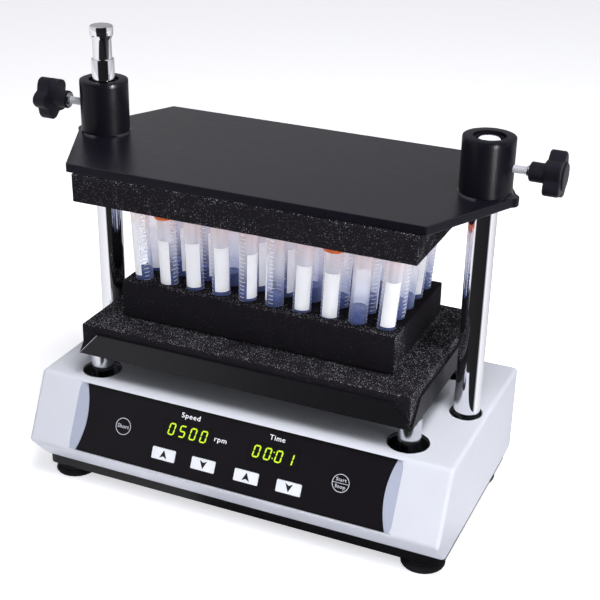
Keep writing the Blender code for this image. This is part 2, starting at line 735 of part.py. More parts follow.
def build_belt(mixer):
    across = Vector((MOTOR_X, MOTOR_Y - DRIVE_Y))
    inner = belt_loop(across.length, DRIVE_PULLEY_RADIUS + GAP, MOTOR_PULLEY_RADIUS + GAP)
    outer = belt_loop(across.length, DRIVE_PULLEY_RADIUS + 1.5 * MM, MOTOR_PULLEY_RADIUS + 1.5 * MM)
    low = PULLEY_BOTTOM + 1.7 * MM
    high = PULLEY_BOTTOM + PULLEY_HEIGHT - 1.7 * MM
    bm = bmesh.new()
    rows = [
        [bm.verts.new((x, y, z)) for x, y in loop]
        for loop, z in ((inner, low), (outer, low), (outer, high), (inner, high))
    ]
    for row, following in zip(rows, rows[1:] + rows[:1]):
        for i in range(len(row)):
            j = (i + 1) % len(row)
            bm.faces.new((row[i], row[j], following[j], following[i]))
    turn = math.atan2(across.y, across.x)
    place("drive_belt", bm, mixer, "black_rubber", (0, DRIVE_Y, 0), (0, 0, turn))


def build_idler(mixer, axis, side, x):
    """Idler crank: it follows the drive crank and keeps the table from turning."""
    low = BASE_BOTTOM + BASE_SHEET + GAP
    profile = [
        (5.3 * MM, low),
        (21 * MM, low),
        (21 * MM, low + 6 * MM),
        (15 * MM, low + 9 * MM),
        (14 * MM, 70 * MM),
        (5.3 * MM, 70 * MM),
    ]
    place(f"idler_block_{side}", turned(profile, 28), mixer, "machined_aluminium", (x, DRIVE_Y, 0))
    crank = [
        (0, 12 * MM),
        (5 * MM, 12 * MM),
        (5 * MM, 71 * MM),
        (9 * MM, 71 * MM),
        (9 * MM, 81 * MM),
        (0, 81 * MM),
    ]
    shaft = place(f"idler_crank_{side}", turned(crank, 24), axis, "satin_steel")
    pin = cylinder(4 * MM, 80 * MM, 90.5 * MM)
    weld(shaft, f"idler_pin_{side}", pin, (0, ORBIT_RADIUS, 0))


# ---------------------------------------------------------------- orbiting table


def build_orbit_plate(table):
    """Plate inside the housing that carries all six posts and rides on the crank pins."""
    x = 174 * MM
    y = 88 * MM
    wing = 206 * MM
    half_wing = 20 * MM
    outline = [(x, y), (-x, y), (-x, half_wing), (-wing, half_wing), (-wing, -half_wing)]
    outline += [(-x, -half_wing), (-x, -y), (x, -y), (x, -half_wing), (wing, -half_wing)]
    outline += [(wing, half_wing), (x, half_wing)]
    low = ORBIT_PLATE_BOTTOM
    high = low + ORBIT_PLATE_THICK
    plate = place("orbit_plate", extruded(outline, low, high), table, "machined_aluminium")
    bores = cylinder(13.3 * MM, low - MM, high + MM, 28)
    for side in (-1, 1):
        at = Matrix.Translation((side * IDLER_X, 0, 0))
        merge(bores, cylinder(4.6 * MM, low - MM, high + MM), at)
        for end in (-1, 1):
            window = rounded_rectangle(60 * MM, 34 * MM, 10 * MM, (side * 75 * MM, end * 50 * MM))
            merge(bores, extruded(window, low - MM, high + MM))
    cut(plate, "orbit_plate_bores", bores)
    bearing = ring(5.3 * MM, 13 * MM, low + 0.5 * MM, high - 0.5 * MM, 28)
    place("hub_bearing", bearing, table, "satin_steel")


def build_posts(table):
    low = ORBIT_PLATE_BOTTOM + ORBIT_PLATE_THICK + GAP
    edge = 0.8 * MM
    top = TRAY_BOTTOM - GAP
    r = SUPPORT_POST_RADIUS
    short = [(0, low), (r - edge, low), (r, low + edge), (r, top - edge), (r - edge, top), (0, top)]
    for side, x in (("left", -SUPPORT_POST_X), ("right", SUPPORT_POST_X)):
        for end, y in (("front", -SUPPORT_POST_Y), ("rear", SUPPORT_POST_Y)):
            place(f"support_post_{end}_{side}", turned(short), table, "satin_steel", (x, y, 0))
    foot = [(0, low), (CLAMP_POST_RADIUS - edge, low), (CLAMP_POST_RADIUS, low + edge)]
    spigot = CLAMP_POST_RADIUS - 1.6 * MM
    shoulder = [(CLAMP_POST_RADIUS, POST_SHOULDER_Z), (spigot, POST_SHOULDER_Z + 1.6 * MM)]
    right = [(spigot, RIGHT_POST_TOP - edge), (spigot - edge, RIGHT_POST_TOP), (0, RIGHT_POST_TOP)]
    place("clamp_post_right", turned(foot + shoulder + right), table, "chrome", (CLAMP_POST_X, 0, 0))
    neck = 9.15 * MM
    left = [
        (spigot, LEFT_NECK_BOTTOM - 0.6 * MM),
        (spigot - 0.6 * MM, LEFT_NECK_BOTTOM),
        (neck, LEFT_NECK_BOTTOM + 0.3 * MM),
        (neck, LEFT_NECK_TOP),
        (11.2 * MM, LEFT_NECK_TOP + 4.7 * MM),
        (11.2 * MM, LEFT_POST_TOP - 1.2 * MM),
        (10 * MM, LEFT_POST_TOP),
        (0, LEFT_POST_TOP),
    ]
    place("clamp_post_left", turned(foot + shoulder + left), table, "chrome", (-CLAMP_POST_X, 0, 0))


def build_tray(table):
    """Sheet tray: a floor with four upturned flanges whose ends are cut back at 45 degrees."""
    x = TRAY_SIZE[0] / 2
    y = TRAY_SIZE[1] / 2
    corners = [(x, y), (-x, y), (-x, -y), (x, -y)]
    bm = bmesh.new()
    floor = [bm.verts.new((cx, cy, 0)) for cx, cy in corners]
    bm.faces.new(floor)
    for i, start in enumerate(floor):
        end = floor[(i + 1) % 4]
        along = (end.co - start.co).normalized() * TRAY_CORNER_CUT
        lift = Vector((0, 0, TRAY_HEIGHT))
        upper_start = bm.verts.new(start.co + along + lift)
        upper_end = bm.verts.new(end.co - along + lift)
        bm.faces.new((start, end, upper_end, upper_start))
    tray = place("tray", bm, table, "black_sheet", (0, 0, TRAY_BOTTOM))
    sheet = tray.modifiers.new("sheet_thickness", "SOLIDIFY")
    sheet.thickness = TRAY_SHEET
    sheet.offset = -1
    sheet.solidify_mode = "NON_MANIFOLD"
    sheet.nonmanifold_thickness_mode = "CONSTRAINTS"


def build_foams(table, clamp):
    """Plain soft blocks: base pad in the tray, tube rack on it, pressure pad above the tubes."""
    floor = TRAY_BOTTOM + TRAY_SHEET + GAP
    layers = [
        ("base_foam", BASE_FOAM_SIZE, floor, BASE_FOAM_TOP, table),
        ("tube_foam", TUBE_FOAM_SIZE, BASE_FOAM_TOP + GAP, TUBE_FOAM_TOP, table),
        ("pressure_foam", TOP_FOAM_SIZE, TOP_FOAM_BOTTOM, PLATE_BOTTOM - GAP, clamp),
    ]
    for name, (width, depth), low, high, parent in layers:
        slab = block((width, depth, high - low), (0, 0, (low + high) / 2))
        foam = place(name, slab, parent, "black_foam")
        round_edges(foam, 1.5 * MM, 1)


# ---------------------------------------------------------------- clamp


def plate_outline():
    """Long hexagon: its right half, with a rounded tip and shoulders, then the same turned round."""
    edge = Vector((PLATE_TIP_X - PLATE_SHOULDER_X, -PLATE_EDGE_Y))
    lean = math.degrees(math.atan2(edge.x, -edge.y))
    turn = 90 - lean
    tip_radius = 8 * MM
    tip = arc((PLATE_TIP_X - tip_radius, 0), tip_radius, -turn, turn, 8)
    shoulder_radius = 4 * MM
    centre = (PLATE_SHOULDER_X, PLATE_EDGE_Y - shoulder_radius)
    upper = arc(centre, shoulder_radius, turn, 90, 3)
    lower = [(x, -y) for x, y in reversed(upper)]
    right = lower + tip + upper
    left = [(-x, -y) for x, y in right]
    return right + left


def build_clamp(clamp):
    slab = extruded(plate_outline(), PLATE_BOTTOM, PLATE_TOP)
    plate = place("pressure_plate", slab, clamp, "black_anodised")
    round_edges(plate, 0.6 * MM, 1)
    holes = bmesh.new()
    for side in (-1, 1):
        at = Matrix.Translation((side * CLAMP_POST_X, 0, 0))
        merge(holes, cylinder(COLLAR_BORE, PLATE_BOTTOM - MM, PLATE_TOP + MM, SEGMENTS), at)
    cut(plate, "plate_holes", holes)
    low = PLATE_TOP + GAP
    edge = 1 * MM
    mouth = 14.5 * MM
    profile = [
        (COLLAR_BORE, low),
        (COLLAR_RADIUS, low),
        (COLLAR_RADIUS, COLLAR_TOP - edge),
        (COLLAR_RADIUS - edge, COLLAR_TOP),
        (mouth, COLLAR_TOP),
        (mouth, COLLAR_TOP - 3 * MM),
        (COLLAR_BORE, COLLAR_TOP - 4.6 * MM),
    ]
    sides = (("left", -CLAMP_POST_X, FACING_LEFT), ("right", CLAMP_POST_X, FACING_RIGHT))
    for side, x, facing in sides:
        collar = place(f"collar_{side}", turned(profile, 36), clamp, "black_anodised", (x, 0, 0))
        tapped = cylinder(SCREW_RADIUS + 0.4 * MM, 8 * MM, 30 * MM)
        cut(collar, f"collar_thread_{side}", tapped, (x, 0, SCREW_Z), facing)


def knob_rings(turns):
    """Loops of the star knob from the bottom of its blind bore out to the cap in its face."""
    bore = SCREW_RADIUS + GAP
    levels = [
        (10.6, bore, 0),
        (0, bore, 0),
        (0, 7.2 * MM, 0),
        (1.2, 8.65 * MM, 0),
        (14.4, 8.65 * MM, 0),
        (15.0, 0.92, 1),
        (16.4, 1, 1),
        (27.2, 1, 1),
        (29.4, 0.88, 1),
        (29.4, 12 * MM, 0),
        (31.0, 11.4 * MM, 0),
    ]
    loops = []
    for height, radius, is_star in levels:
        loop = []
        for i in range(turns):
            angle = 2 * math.pi * i / turns
            swell = 0.5 + 0.5 * math.cos(KNOB_LOBES * angle)
            star = KNOB_VALLEY + (KNOB_RADIUS - KNOB_VALLEY) * swell**0.75
            r = radius * star if is_star else radius
            loop.append((r * math.cos(angle), r * math.sin(angle), height * MM))
        loops.append(loop)
    return loops


def build_clamp_screw(side, screw_axis, pad_axis, hub):
    """Pad, threaded rod and star knob on one axis; the knob's local Z points outward."""
    inner = CLAMP_POST_RADIUS + GAP
    pad = cylinder(SCREW_RADIUS, inner, inner + PAD_THICK)
    place(f"screw_pad_{side}", pad, pad_axis, "brass")
    rod_start = inner + PAD_THICK + GAP
    rod = cylinder(SCREW_RADIUS, rod_start, hub + 10.2 * MM)
    place(f"clamp_screw_{side}", rod, screw_axis, "satin_steel")
    knob = lofted(knob_rings(45))
    place(f"clamp_knob_{side}", knob, screw_axis, "knob_plastic", (0, 0, hub))


# ---------------------------------------------------------------- assembly


def centre_footprint(mixer):
    """Moves the whole mixer so that the world origin is under the middle of its footprint."""
    bpy.context.view_layer.update()
    graph = bpy.context.evaluated_depsgraph_get()
    low = Vector((math.inf, math.inf))
    high = -low
    for obj in bpy.context.scene.objects:
        if obj.type not in ("MESH", "CURVE") or obj.hide_render:
            continue
        shown = obj.evaluated_get(graph)
        mesh = shown.to_mesh()
        for vertex in mesh.vertices:
            point = shown.matrix_world @ vertex.co
            low = Vector((min(low.x, point.x), min(low.y, point.y)))
            high = Vector((max(high.x, point.x), max(high.y, point.y)))
        shown.to_mesh_clear()
    middle = (low + high) / 2
    mixer.location = (-middle.x, -middle.y, 0)


def main():
    mixer = add_empty("mixer")
    slope = add_empty("slope_frame", mixer, (0, RIDGE_Y, HOUSING_TOP), (SLOPE_TILT, 0, 0))
    rear = add_empty("rear_frame", mixer, (0, HOUSING_BACK_Y, REAR_CENTRE_Z), (math.pi / 2, 0, math.pi))
    drive = add_empty("drive_axis", mixer, (0, DRIVE_Y, 0))
    rotor = add_empty("motor_axis", mixer, (MOTOR_X, MOTOR_Y, 0))
    table = add_empty("table_axis", mixer)
    clamp = add_empty("clamp_slide", mixer)
    fuse_axis = add_empty("fuse_slide", rear, (INLET_U, 13 * MM, 0))
    rocker_axis = add_empty("rocker_axis", rear, (SWITCH_U, 0, -1 * MM))

    build_housing(mixer, slope, rear)
    build_base(mixer)
    build_feet(mixer)
    build_panel(slope)
    build_keys(slope)
    build_displays(slope)
    build_display_board(slope)
    build_control_board(mixer)
    build_power_supply(mixer)
    build_wiring(mixer)
    build_rear_inlet(rear, fuse_axis)
    build_power_switch(rear, rocker_axis)
    build_drive_block(mixer)
    build_drive_shaft(drive)
    build_motor(mixer, rotor)
    build_belt(mixer)
    for side, x in (("left", -IDLER_X), ("right", IDLER_X)):
        idler_axis = add_empty(f"idler_axis_{side}", mixer, (x, DRIVE_Y, 0))
        build_idler(mixer, idler_axis, side, x)
    build_orbit_plate(table)
    build_posts(table)
    build_tray(table)
    build_foams(table, clamp)
    build_clamp(clamp)
    for side, x, facing, hub in (
        ("left", -CLAMP_POST_X, FACING_LEFT, LEFT_HUB_X),
        ("right", CLAMP_POST_X, FACING_RIGHT, RIGHT_HUB_X),
    ):
        pad_axis = add_empty(f"pad_slide_{side}", clamp, (x, 0, SCREW_Z), facing)
        screw_axis = add_empty(f"screw_axis_{side}", pad_axis)
        build_clamp_screw(side, screw_axis, pad_axis, hub - CLAMP_POST_X)
    centre_footprint(mixer)


clear_scene()
MATERIALS = make_materials()
main()
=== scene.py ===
"""The looks of a multi-tube vortex mixer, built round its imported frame.

Everything is in metres in the frame's own space: +Z is up and the user stands at -Y. Pieces take
their places from the frame's nodes and ride on its bodies.
"""

import json
import math
import random

import bmesh
import bpy
from mathutils import Matrix, Vector, noise


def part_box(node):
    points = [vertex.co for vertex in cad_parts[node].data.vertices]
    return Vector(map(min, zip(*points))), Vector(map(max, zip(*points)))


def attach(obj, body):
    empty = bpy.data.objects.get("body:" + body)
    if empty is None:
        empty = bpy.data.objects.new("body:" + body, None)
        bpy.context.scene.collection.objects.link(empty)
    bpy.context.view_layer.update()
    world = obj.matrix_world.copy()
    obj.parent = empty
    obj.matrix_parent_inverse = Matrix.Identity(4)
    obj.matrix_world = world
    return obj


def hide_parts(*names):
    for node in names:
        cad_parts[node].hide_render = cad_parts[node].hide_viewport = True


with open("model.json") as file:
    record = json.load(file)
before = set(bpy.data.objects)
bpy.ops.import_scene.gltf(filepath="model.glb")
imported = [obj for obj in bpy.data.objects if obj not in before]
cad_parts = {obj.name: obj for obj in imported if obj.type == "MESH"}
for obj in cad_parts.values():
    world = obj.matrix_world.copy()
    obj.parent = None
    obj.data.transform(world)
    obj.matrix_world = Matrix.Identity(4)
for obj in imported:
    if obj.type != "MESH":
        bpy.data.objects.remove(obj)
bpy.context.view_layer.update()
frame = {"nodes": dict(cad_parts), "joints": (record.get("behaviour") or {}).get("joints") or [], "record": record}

MM = 0.001


# -------- places taken from the frame


def box_centre(node):
    low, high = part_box(node)
    return (low + high) / 2


MIDDLE = (box_centre("clamp_post_left") + box_centre("clamp_post_right")) / 2
HOUSING_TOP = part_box("top_housing")[1].z
RACK_LOW, RACK_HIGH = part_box("tube_foam")
PAD_LOW, PAD_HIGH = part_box("pressure_foam")
KEY_PRESS = next(joint for joint in frame["joints"] if joint["name"] == "short_press")
SLOPE_OUT = -Vector(KEY_PRESS["axis"]).normalized()
SLOPE_UP = SLOPE_OUT.cross(Vector((1, 0, 0)))


def face_frame(node):
    """A matrix at the middle of a keypad piece's front face: X to the right, Y up the slope, Z out."""
    points = [vertex.co for vertex in frame["nodes"][node].data.vertices]
    height = max(point.dot(SLOPE_OUT) for point in points)
    front = [point for point in points if height - point.dot(SLOPE_OUT) < 0.05 * MM]
    across = [point.x for point in front]
    up = [point.dot(SLOPE_UP) for point in front]
    origin = Vector(((min(across) + max(across)) / 2, 0, 0))
    origin += SLOPE_UP * (min(up) + max(up)) / 2 + SLOPE_OUT * height
    turn = Matrix((Vector((1, 0, 0)), SLOPE_UP, SLOPE_OUT)).transposed()
    return Matrix.Translation(origin) @ turn.to_4x4()


PANEL_FACE = face_frame("front_panel")


def add_object(name, data):
    made = bpy.data.objects.new(name, data)
    bpy.context.scene.collection.objects.link(made)
    return made


# -------- camera

VIEW_AZIMUTH = 0.40902
VIEW_ELEVATION = 0.44058
VIEW_ROLL = 0.02015
CAMERA_FROM_HOUSING_TOP = Vector((0.46514, -1.03060, 0.60957))
LENS = 77.13


def make_camera():
    back = Vector((math.sin(VIEW_AZIMUTH), -math.cos(VIEW_AZIMUTH), math.tan(VIEW_ELEVATION)))
    back.normalize()
    right = Vector((0, 0, 1)).cross(back).normalized()
    up = back.cross(right)
    turned_right = math.cos(VIEW_ROLL) * right + math.sin(VIEW_ROLL) * up
    turned_up = back.cross(turned_right)
    camera = add_object("camera", bpy.data.cameras.new("camera"))
    camera.data.lens = LENS
    spin = Matrix((turned_right, turned_up, back)).transposed().to_4x4()
    target = Vector((MIDDLE.x, MIDDLE.y, HOUSING_TOP))
    camera.matrix_world = Matrix.Translation(target + CAMERA_FROM_HOUSING_TOP) @ spin
    bpy.context.scene.camera = camera


# -------- node helpers


def feed(node, inputs):
    """Fills a node's inputs. One given as another node's socket is linked, else it is a value."""
    for key, value in inputs.items():
        if isinstance(value, bpy.types.NodeSocket):
            node.id_data.links.new(value, node.inputs[key])
        else:
            node.inputs[key].default_value = value


def add_node(tree, kind, inputs=None, **settings):
    made = tree.nodes.new("ShaderNode" + kind)
    for key, value in settings.items():
        setattr(made, key, value)
    feed(made, inputs or {})
    return made


def scaled_place(tree, size, stretch=(1, 1, 1)):
    place = add_node(tree, "TexCoord").outputs["Object"]
    scale = [share / size for share in stretch]
    return add_node(tree, "Mapping", {"Vector": place, "Scale": scale}).outputs["Vector"]


def grain(tree, size, detail=2.0, stretch=(1, 1, 1)):
    """Soft noise whose features are about size across; stretch below 1 draws them out."""
    place = scaled_place(tree, size, stretch)
    made = add_node(tree, "TexNoise", {"Vector": place, "Scale": 1.0, "Detail": detail})
    return made.outputs["Fac"]


def cells(tree, size, feature="F1", output="Distance", randomness=1.0):
    place = scaled_place(tree, size)
    inputs = {"Vector": place, "Scale": 1.0, "Randomness": randomness}
    return add_node(tree, "TexVoronoi", inputs, feature=feature).outputs[output]


def spread(tree, value, low, high, start=0.3, end=0.7):
    """Maps value from start..end to low..high, clamped."""
    inputs = {"Value": value, "From Min": start, "From Max": end, "To Min": low, "To Max": high}
    return add_node(tree, "MapRange", inputs).outputs["Result"]


def ramp(tree, value, stops):
    made = add_node(tree, "ValToRGB", {"Fac": value})
    elements = made.color_ramp.elements
    while len(elements) < len(stops):
        elements.new(0.5)
    for element, (position, colour) in zip(elements, stops):
        element.position = position
        element.color = (*colour, 1)
    return made.outputs["Color"]


def calculate(tree, operation, first, second=0.0):
    return add_node(tree, "Math", {0: first, 1: second}, operation=operation).outputs[0]


def product(tree, first, *others):
    for other in others:
        first = calculate(tree, "MULTIPLY", first, other)
    return first


def tinted(tree, share, colour, tint):
    """The colour multiplied by the tint, where share is 1."""
    inputs = {0: share, 6: colour, 7: tint}
    return add_node(tree, "Mix", inputs, data_type="RGBA", blend_type="MULTIPLY").outputs[2]


def shade(colour, share):
    return tuple(min(1.0, channel * share) for channel in colour)


def new_material(name):
    material = bpy.data.materials.new(name)
    material.use_nodes = True
    return material, material.node_tree, material.node_tree.nodes["Principled BSDF"]


def bumps(tree, height, depth):
    """The normals of a surface whose relief is a 0..1 height times depth."""
    inputs = {"Height": height, "Distance": depth, "Strength": 1.0}
    return add_node(tree, "Bump", inputs).outputs["Normal"]


def finish_surface(
    name,
    colour,
    mottle=0.08,
    mottle_size=30 * MM,
    roughness=0.4,
    roughness_spread=0.05,
    bump_size=0.6 * MM,
    bump_depth=0.02 * MM,
    metallic=0.0,
    specular=0.5,
    stretch=(1, 1, 1),
):
    """A solid finish: mottled colour, uneven roughness and a fine relief."""
    material, tree, shader = new_material(name)
    stops = [(0.3, shade(colour, 1 - mottle)), (0.7, shade(colour, 1 + mottle))]
    worn = grain(tree, mottle_size / 4, 5.0, stretch)
    inputs = {
        "Base Color": ramp(tree, grain(tree, mottle_size, 4.0, stretch), stops),
        "Roughness": spread(tree, worn, roughness - roughness_spread, roughness + roughness_spread),
        "Metallic": metallic,
        "Specular IOR Level": specular,
        "Normal": bumps(tree, grain(tree, bump_size, 3.0, stretch), bump_depth),
    }
    feed(shader, inputs)
    return material


# -------- materials

# what finish_surface is given for each material
FINISHES = {
    "housing_paint": dict(
        colour=(0.665, 0.685, 0.76), mottle=0.015, mottle_size=70 * MM, roughness=0.42,
        roughness_spread=0.04, bump_size=0.7 * MM, bump_depth=0.025 * MM, specular=0.4,
    ),
    "label_paper": dict(
        colour=(0.9, 0.91, 0.95), mottle=0.03, mottle_size=5 * MM, roughness=0.6,
        bump_size=1.2 * MM, bump_depth=0.05 * MM, specular=0.3,
    ),
    "black_sheet": dict(
        colour=(0.0078, 0.0074, 0.0098), mottle=0.06, mottle_size=60 * MM, roughness=0.46,
        roughness_spread=0.02, bump_size=0.5 * MM, bump_depth=0.004 * MM, specular=0.3,
    ),
    "panel_gloss": dict(
        colour=(0.0082, 0.0070, 0.0092), mottle=0.08, roughness=0.26, roughness_spread=0.01,
        bump_size=8 * MM, bump_depth=0.001 * MM, specular=0.12,
    ),
    "display_lens": dict(
        colour=(0.0078, 0.0069, 0.0088), mottle=0.08, roughness=0.24, roughness_spread=0.01,
        bump_size=10 * MM, bump_depth=0.001 * MM, specular=0.12,
    ),
    "key_white": dict(
        colour=(0.83, 0.85, 0.91), mottle=0.02, mottle_size=6 * MM, roughness=0.35,
        bump_size=0.4 * MM, bump_depth=0.008 * MM,
    ),
    "chrome": dict(
        colour=(0.9, 0.9, 0.93), mottle=0.02, roughness=0.05, roughness_spread=0.02,
        bump_size=5 * MM, bump_depth=0.002 * MM, metallic=1.0, stretch=(0.2, 0.2, 1),
    ),
    "satin_steel": dict(
        colour=(0.72, 0.73, 0.76), mottle=0.05, mottle_size=8 * MM, roughness=0.16,
        bump_size=0.5 * MM, bump_depth=0.004 * MM, metallic=1.0, stretch=(0.1, 0.1, 1),
    ),
    "zinc_thread": dict(
        colour=(0.66, 0.66, 0.72), mottle=0.06, mottle_size=4 * MM, roughness=0.34, metallic=0.35
    ),
    "machined_aluminium": dict(
        colour=(0.72, 0.73, 0.75), mottle=0.06, mottle_size=5 * MM, roughness=0.32,
        bump_size=0.6 * MM, bump_depth=0.012 * MM, metallic=1.0, stretch=(0.1, 1, 1),
    ),
    "black_rubber": dict(
        colour=(0.015, 0.015, 0.016), mottle=0.3, mottle_size=9 * MM, roughness=0.8,
        bump_size=0.4 * MM, bump_depth=0.03 * MM, specular=0.25,
    ),
    "knob_plastic": dict(
        colour=(0.0105, 0.01, 0.0155), mottle=0.12, mottle_size=7 * MM, roughness=0.4,
        bump_size=0.45 * MM, bump_depth=0.015 * MM, specular=0.16,
    ),
    "brass": dict(
        colour=(0.78, 0.57, 0.26), mottle=0.1, mottle_size=3 * MM, roughness=0.28,
        metallic=1.0, stretch=(1, 0.2, 0.2),
    ),
    "cable_sheath": dict(colour=(0.03, 0.03, 0.032), mottle=0.2, roughness=0.6),
    "motor_steel": dict(
        colour=(0.32, 0.33, 0.35), mottle=0.1, roughness=0.38, metallic=0.9, stretch=(1, 1, 0.2)
    ),
    "cap_orange": dict(
        colour=(0.85, 0.16, 0.02), mottle=0.06, mottle_size=6 * MM, roughness=0.4,
        bump_size=0.6 * MM, bump_depth=0.03 * MM,
    ),
}

ANODISED = dict(
    colour=(0.0065, 0.006, 0.0105), mottle=0.1, mottle_size=40 * MM, roughness=0.29,
    roughness_spread=0.02, bump_size=0.6 * MM, bump_depth=0.0006 * MM,
)


def zinc_sheet():
    material, tree, shader = new_material("zinc_sheet")
    spangle = cells(tree, 6 * MM, output="Color")
    grey = add_node(tree, "RGBToBW", {"Color": spangle}).outputs["Val"]
    inputs = {
        "Base Color": ramp(tree, grey, [(0.2, (0.5, 0.51, 0.53)), (0.8, (0.68, 0.69, 0.7))]),
        "Roughness": spread(tree, grey, 0.3, 0.5, 0.2, 0.8),
        "Metallic": 0.9,
        "Normal": bumps(tree, grain(tree, 1 * MM), 0.01 * MM),
    }
    feed(shader, inputs)
    return material


def circuit_board():
    """Green solder mask with darker gaps between the copper areas."""
    material, tree, shader = new_material("circuit_board")
    edges = cells(tree, 7 * MM, feature="DISTANCE_TO_EDGE")
    inputs = {
        "Base Color": ramp(tree, edges, [(0.04, (0.006, 0.05, 0.025)), (0.09, (0.02, 0.17, 0.08))]),
        "Roughness": 0.4,
        "Normal": bumps(tree, spread(tree, edges, 0.0, 1.0, 0.03, 0.1), 0.04 * MM),
    }
    feed(shader, inputs)
    return material


def ribbon_grey():
    """Flat cable: one stripe for each wire across its width."""
    material, tree, shader = new_material("ribbon_grey")
    place = scaled_place(tree, 1.27 * MM)
    across = add_node(tree, "SeparateXYZ", {"Vector": place}).outputs["X"]
    wire = calculate(tree, "PINGPONG", across, 0.5)
    inputs = {
        "Base Color": ramp(tree, wire, [(0.05, (0.3, 0.3, 0.32)), (0.3, (0.55, 0.55, 0.57))]),
        "Roughness": 0.55,
        "Normal": bumps(tree, wire, 0.3 * MM),
    }
    feed(shader, inputs)
    return material


def painted_foam_glints(tree):
    """How many painted glints the foam gets, standing in for struts that catch the light: more higher up, on faces
    turned up and on faces turned to the right, and few in the painted shade on the rack below the pad, back from
    its front edge.
    """
    facing = add_node(tree, "NewGeometry").outputs["Normal"]
    side = add_node(tree, "SeparateXYZ", {"Vector": facing})
    place = add_node(tree, "SeparateXYZ", {"Vector": scaled_place(tree, 1)})
    height = place.outputs["Z"]
    amount = spread(tree, height, 0.09, 0.25, RACK_HIGH.z, PAD_LOW.z)
    for axis in ("X", "Z"):
        toward = calculate(tree, "MAXIMUM", side.outputs[axis], 0.0)
        amount = calculate(tree, "ADD", amount, product(tree, toward, 0.42))
    # painted shade: few glints on the rack below the pad, back from its front edge
    above = spread(tree, height, 0.0, 1.0, RACK_LOW.z + 3 * MM, RACK_LOW.z + 8 * MM)
    below = spread(tree, height, 1.0, 0.0, PAD_LOW.z - 6 * MM, PAD_LOW.z - MM)
    deep = spread(tree, place.outputs["Y"], 0.0, 0.85, RACK_LOW.y + 8 * MM, RACK_LOW.y + 40 * MM)
    lit = calculate(tree, "SUBTRACT", 1.0, product(tree, above, below, deep))
    return product(tree, amount, lit, spread(tree, grain(tree, 16 * MM, 3.0), 0.5, 1.35))


def black_foam():
    """Open-cell black foam with painted glints: light specks in its colour, which also glow a little, where struts
    would catch the light.
    """
    material, tree, shader = new_material("black_foam")
    painted_glint_cell = 0.85 * MM
    pores = cells(tree, 1.5 * MM)
    chosen = add_node(tree, "SeparateColor", {"Color": cells(tree, painted_glint_cell, output="Color")})
    limit = calculate(tree, "SUBTRACT", 1.0, painted_foam_glints(tree))
    level = spread(tree, chosen.outputs["Red"], 0.0, 1.0, limit, calculate(tree, "ADD", limit, 0.35))
    painted_sparkle = product(tree, spread(tree, cells(tree, painted_glint_cell), 1.0, 0.0, 0.2, 0.45), level)
    # the foam's own black, then the light colours of its painted glints
    stops = [(0.0, (0.0125, 0.0112, 0.0145)), (0.5, (0.16, 0.16, 0.18)), (1.0, (0.6, 0.6, 0.66))]
    colour = ramp(tree, painted_sparkle, stops)
    relief = calculate(tree, "ADD", pores, product(tree, grain(tree, 3 * MM), 0.6))
    inputs = {
        "Base Color": colour,
        # the painted glints glow a little
        "Emission Color": colour,
        "Emission Strength": product(tree, painted_sparkle, 0.4),
        "Roughness": 0.9,
        "Specular IOR Level": 0.1,
        "Normal": bumps(tree, relief, 0.5 * MM),
    }
    feed(shader, inputs)
    return material


def legend_ink(name, colour, painted_glow=0.0):
    material, tree, shader = new_material(name)
    stops = [(0.3, shade(colour, 0.9)), (0.7, shade(colour, 1.05))]
    inputs = {
        "Base Color": ramp(tree, grain(tree, 0.5 * MM, 3.0), stops),
        "Roughness": 0.45,
        "Specular IOR Level": 0.2,
        # any glow here is painted light on the print
        "Emission Color": (*colour, 1),
        "Emission Strength": painted_glow,
    }
    feed(shader, inputs)
    return material


def display_light():
    """Lit segments: yellow-green, a little brighter in the middle of each die."""
    material, tree, shader = new_material("display_light")
    stops = [(0.1, (0.66, 0.82, 0.02)), (0.8, (0.4, 0.66, 0.01))]
    inputs = {
        "Emission Color": ramp(tree, cells(tree, 2.2 * MM), stops),
        "Emission Strength": 1.0,
        "Base Color": (0.2, 0.3, 0.01, 1),
        "Roughness": 0.4,
    }
    feed(shader, inputs)
    return material


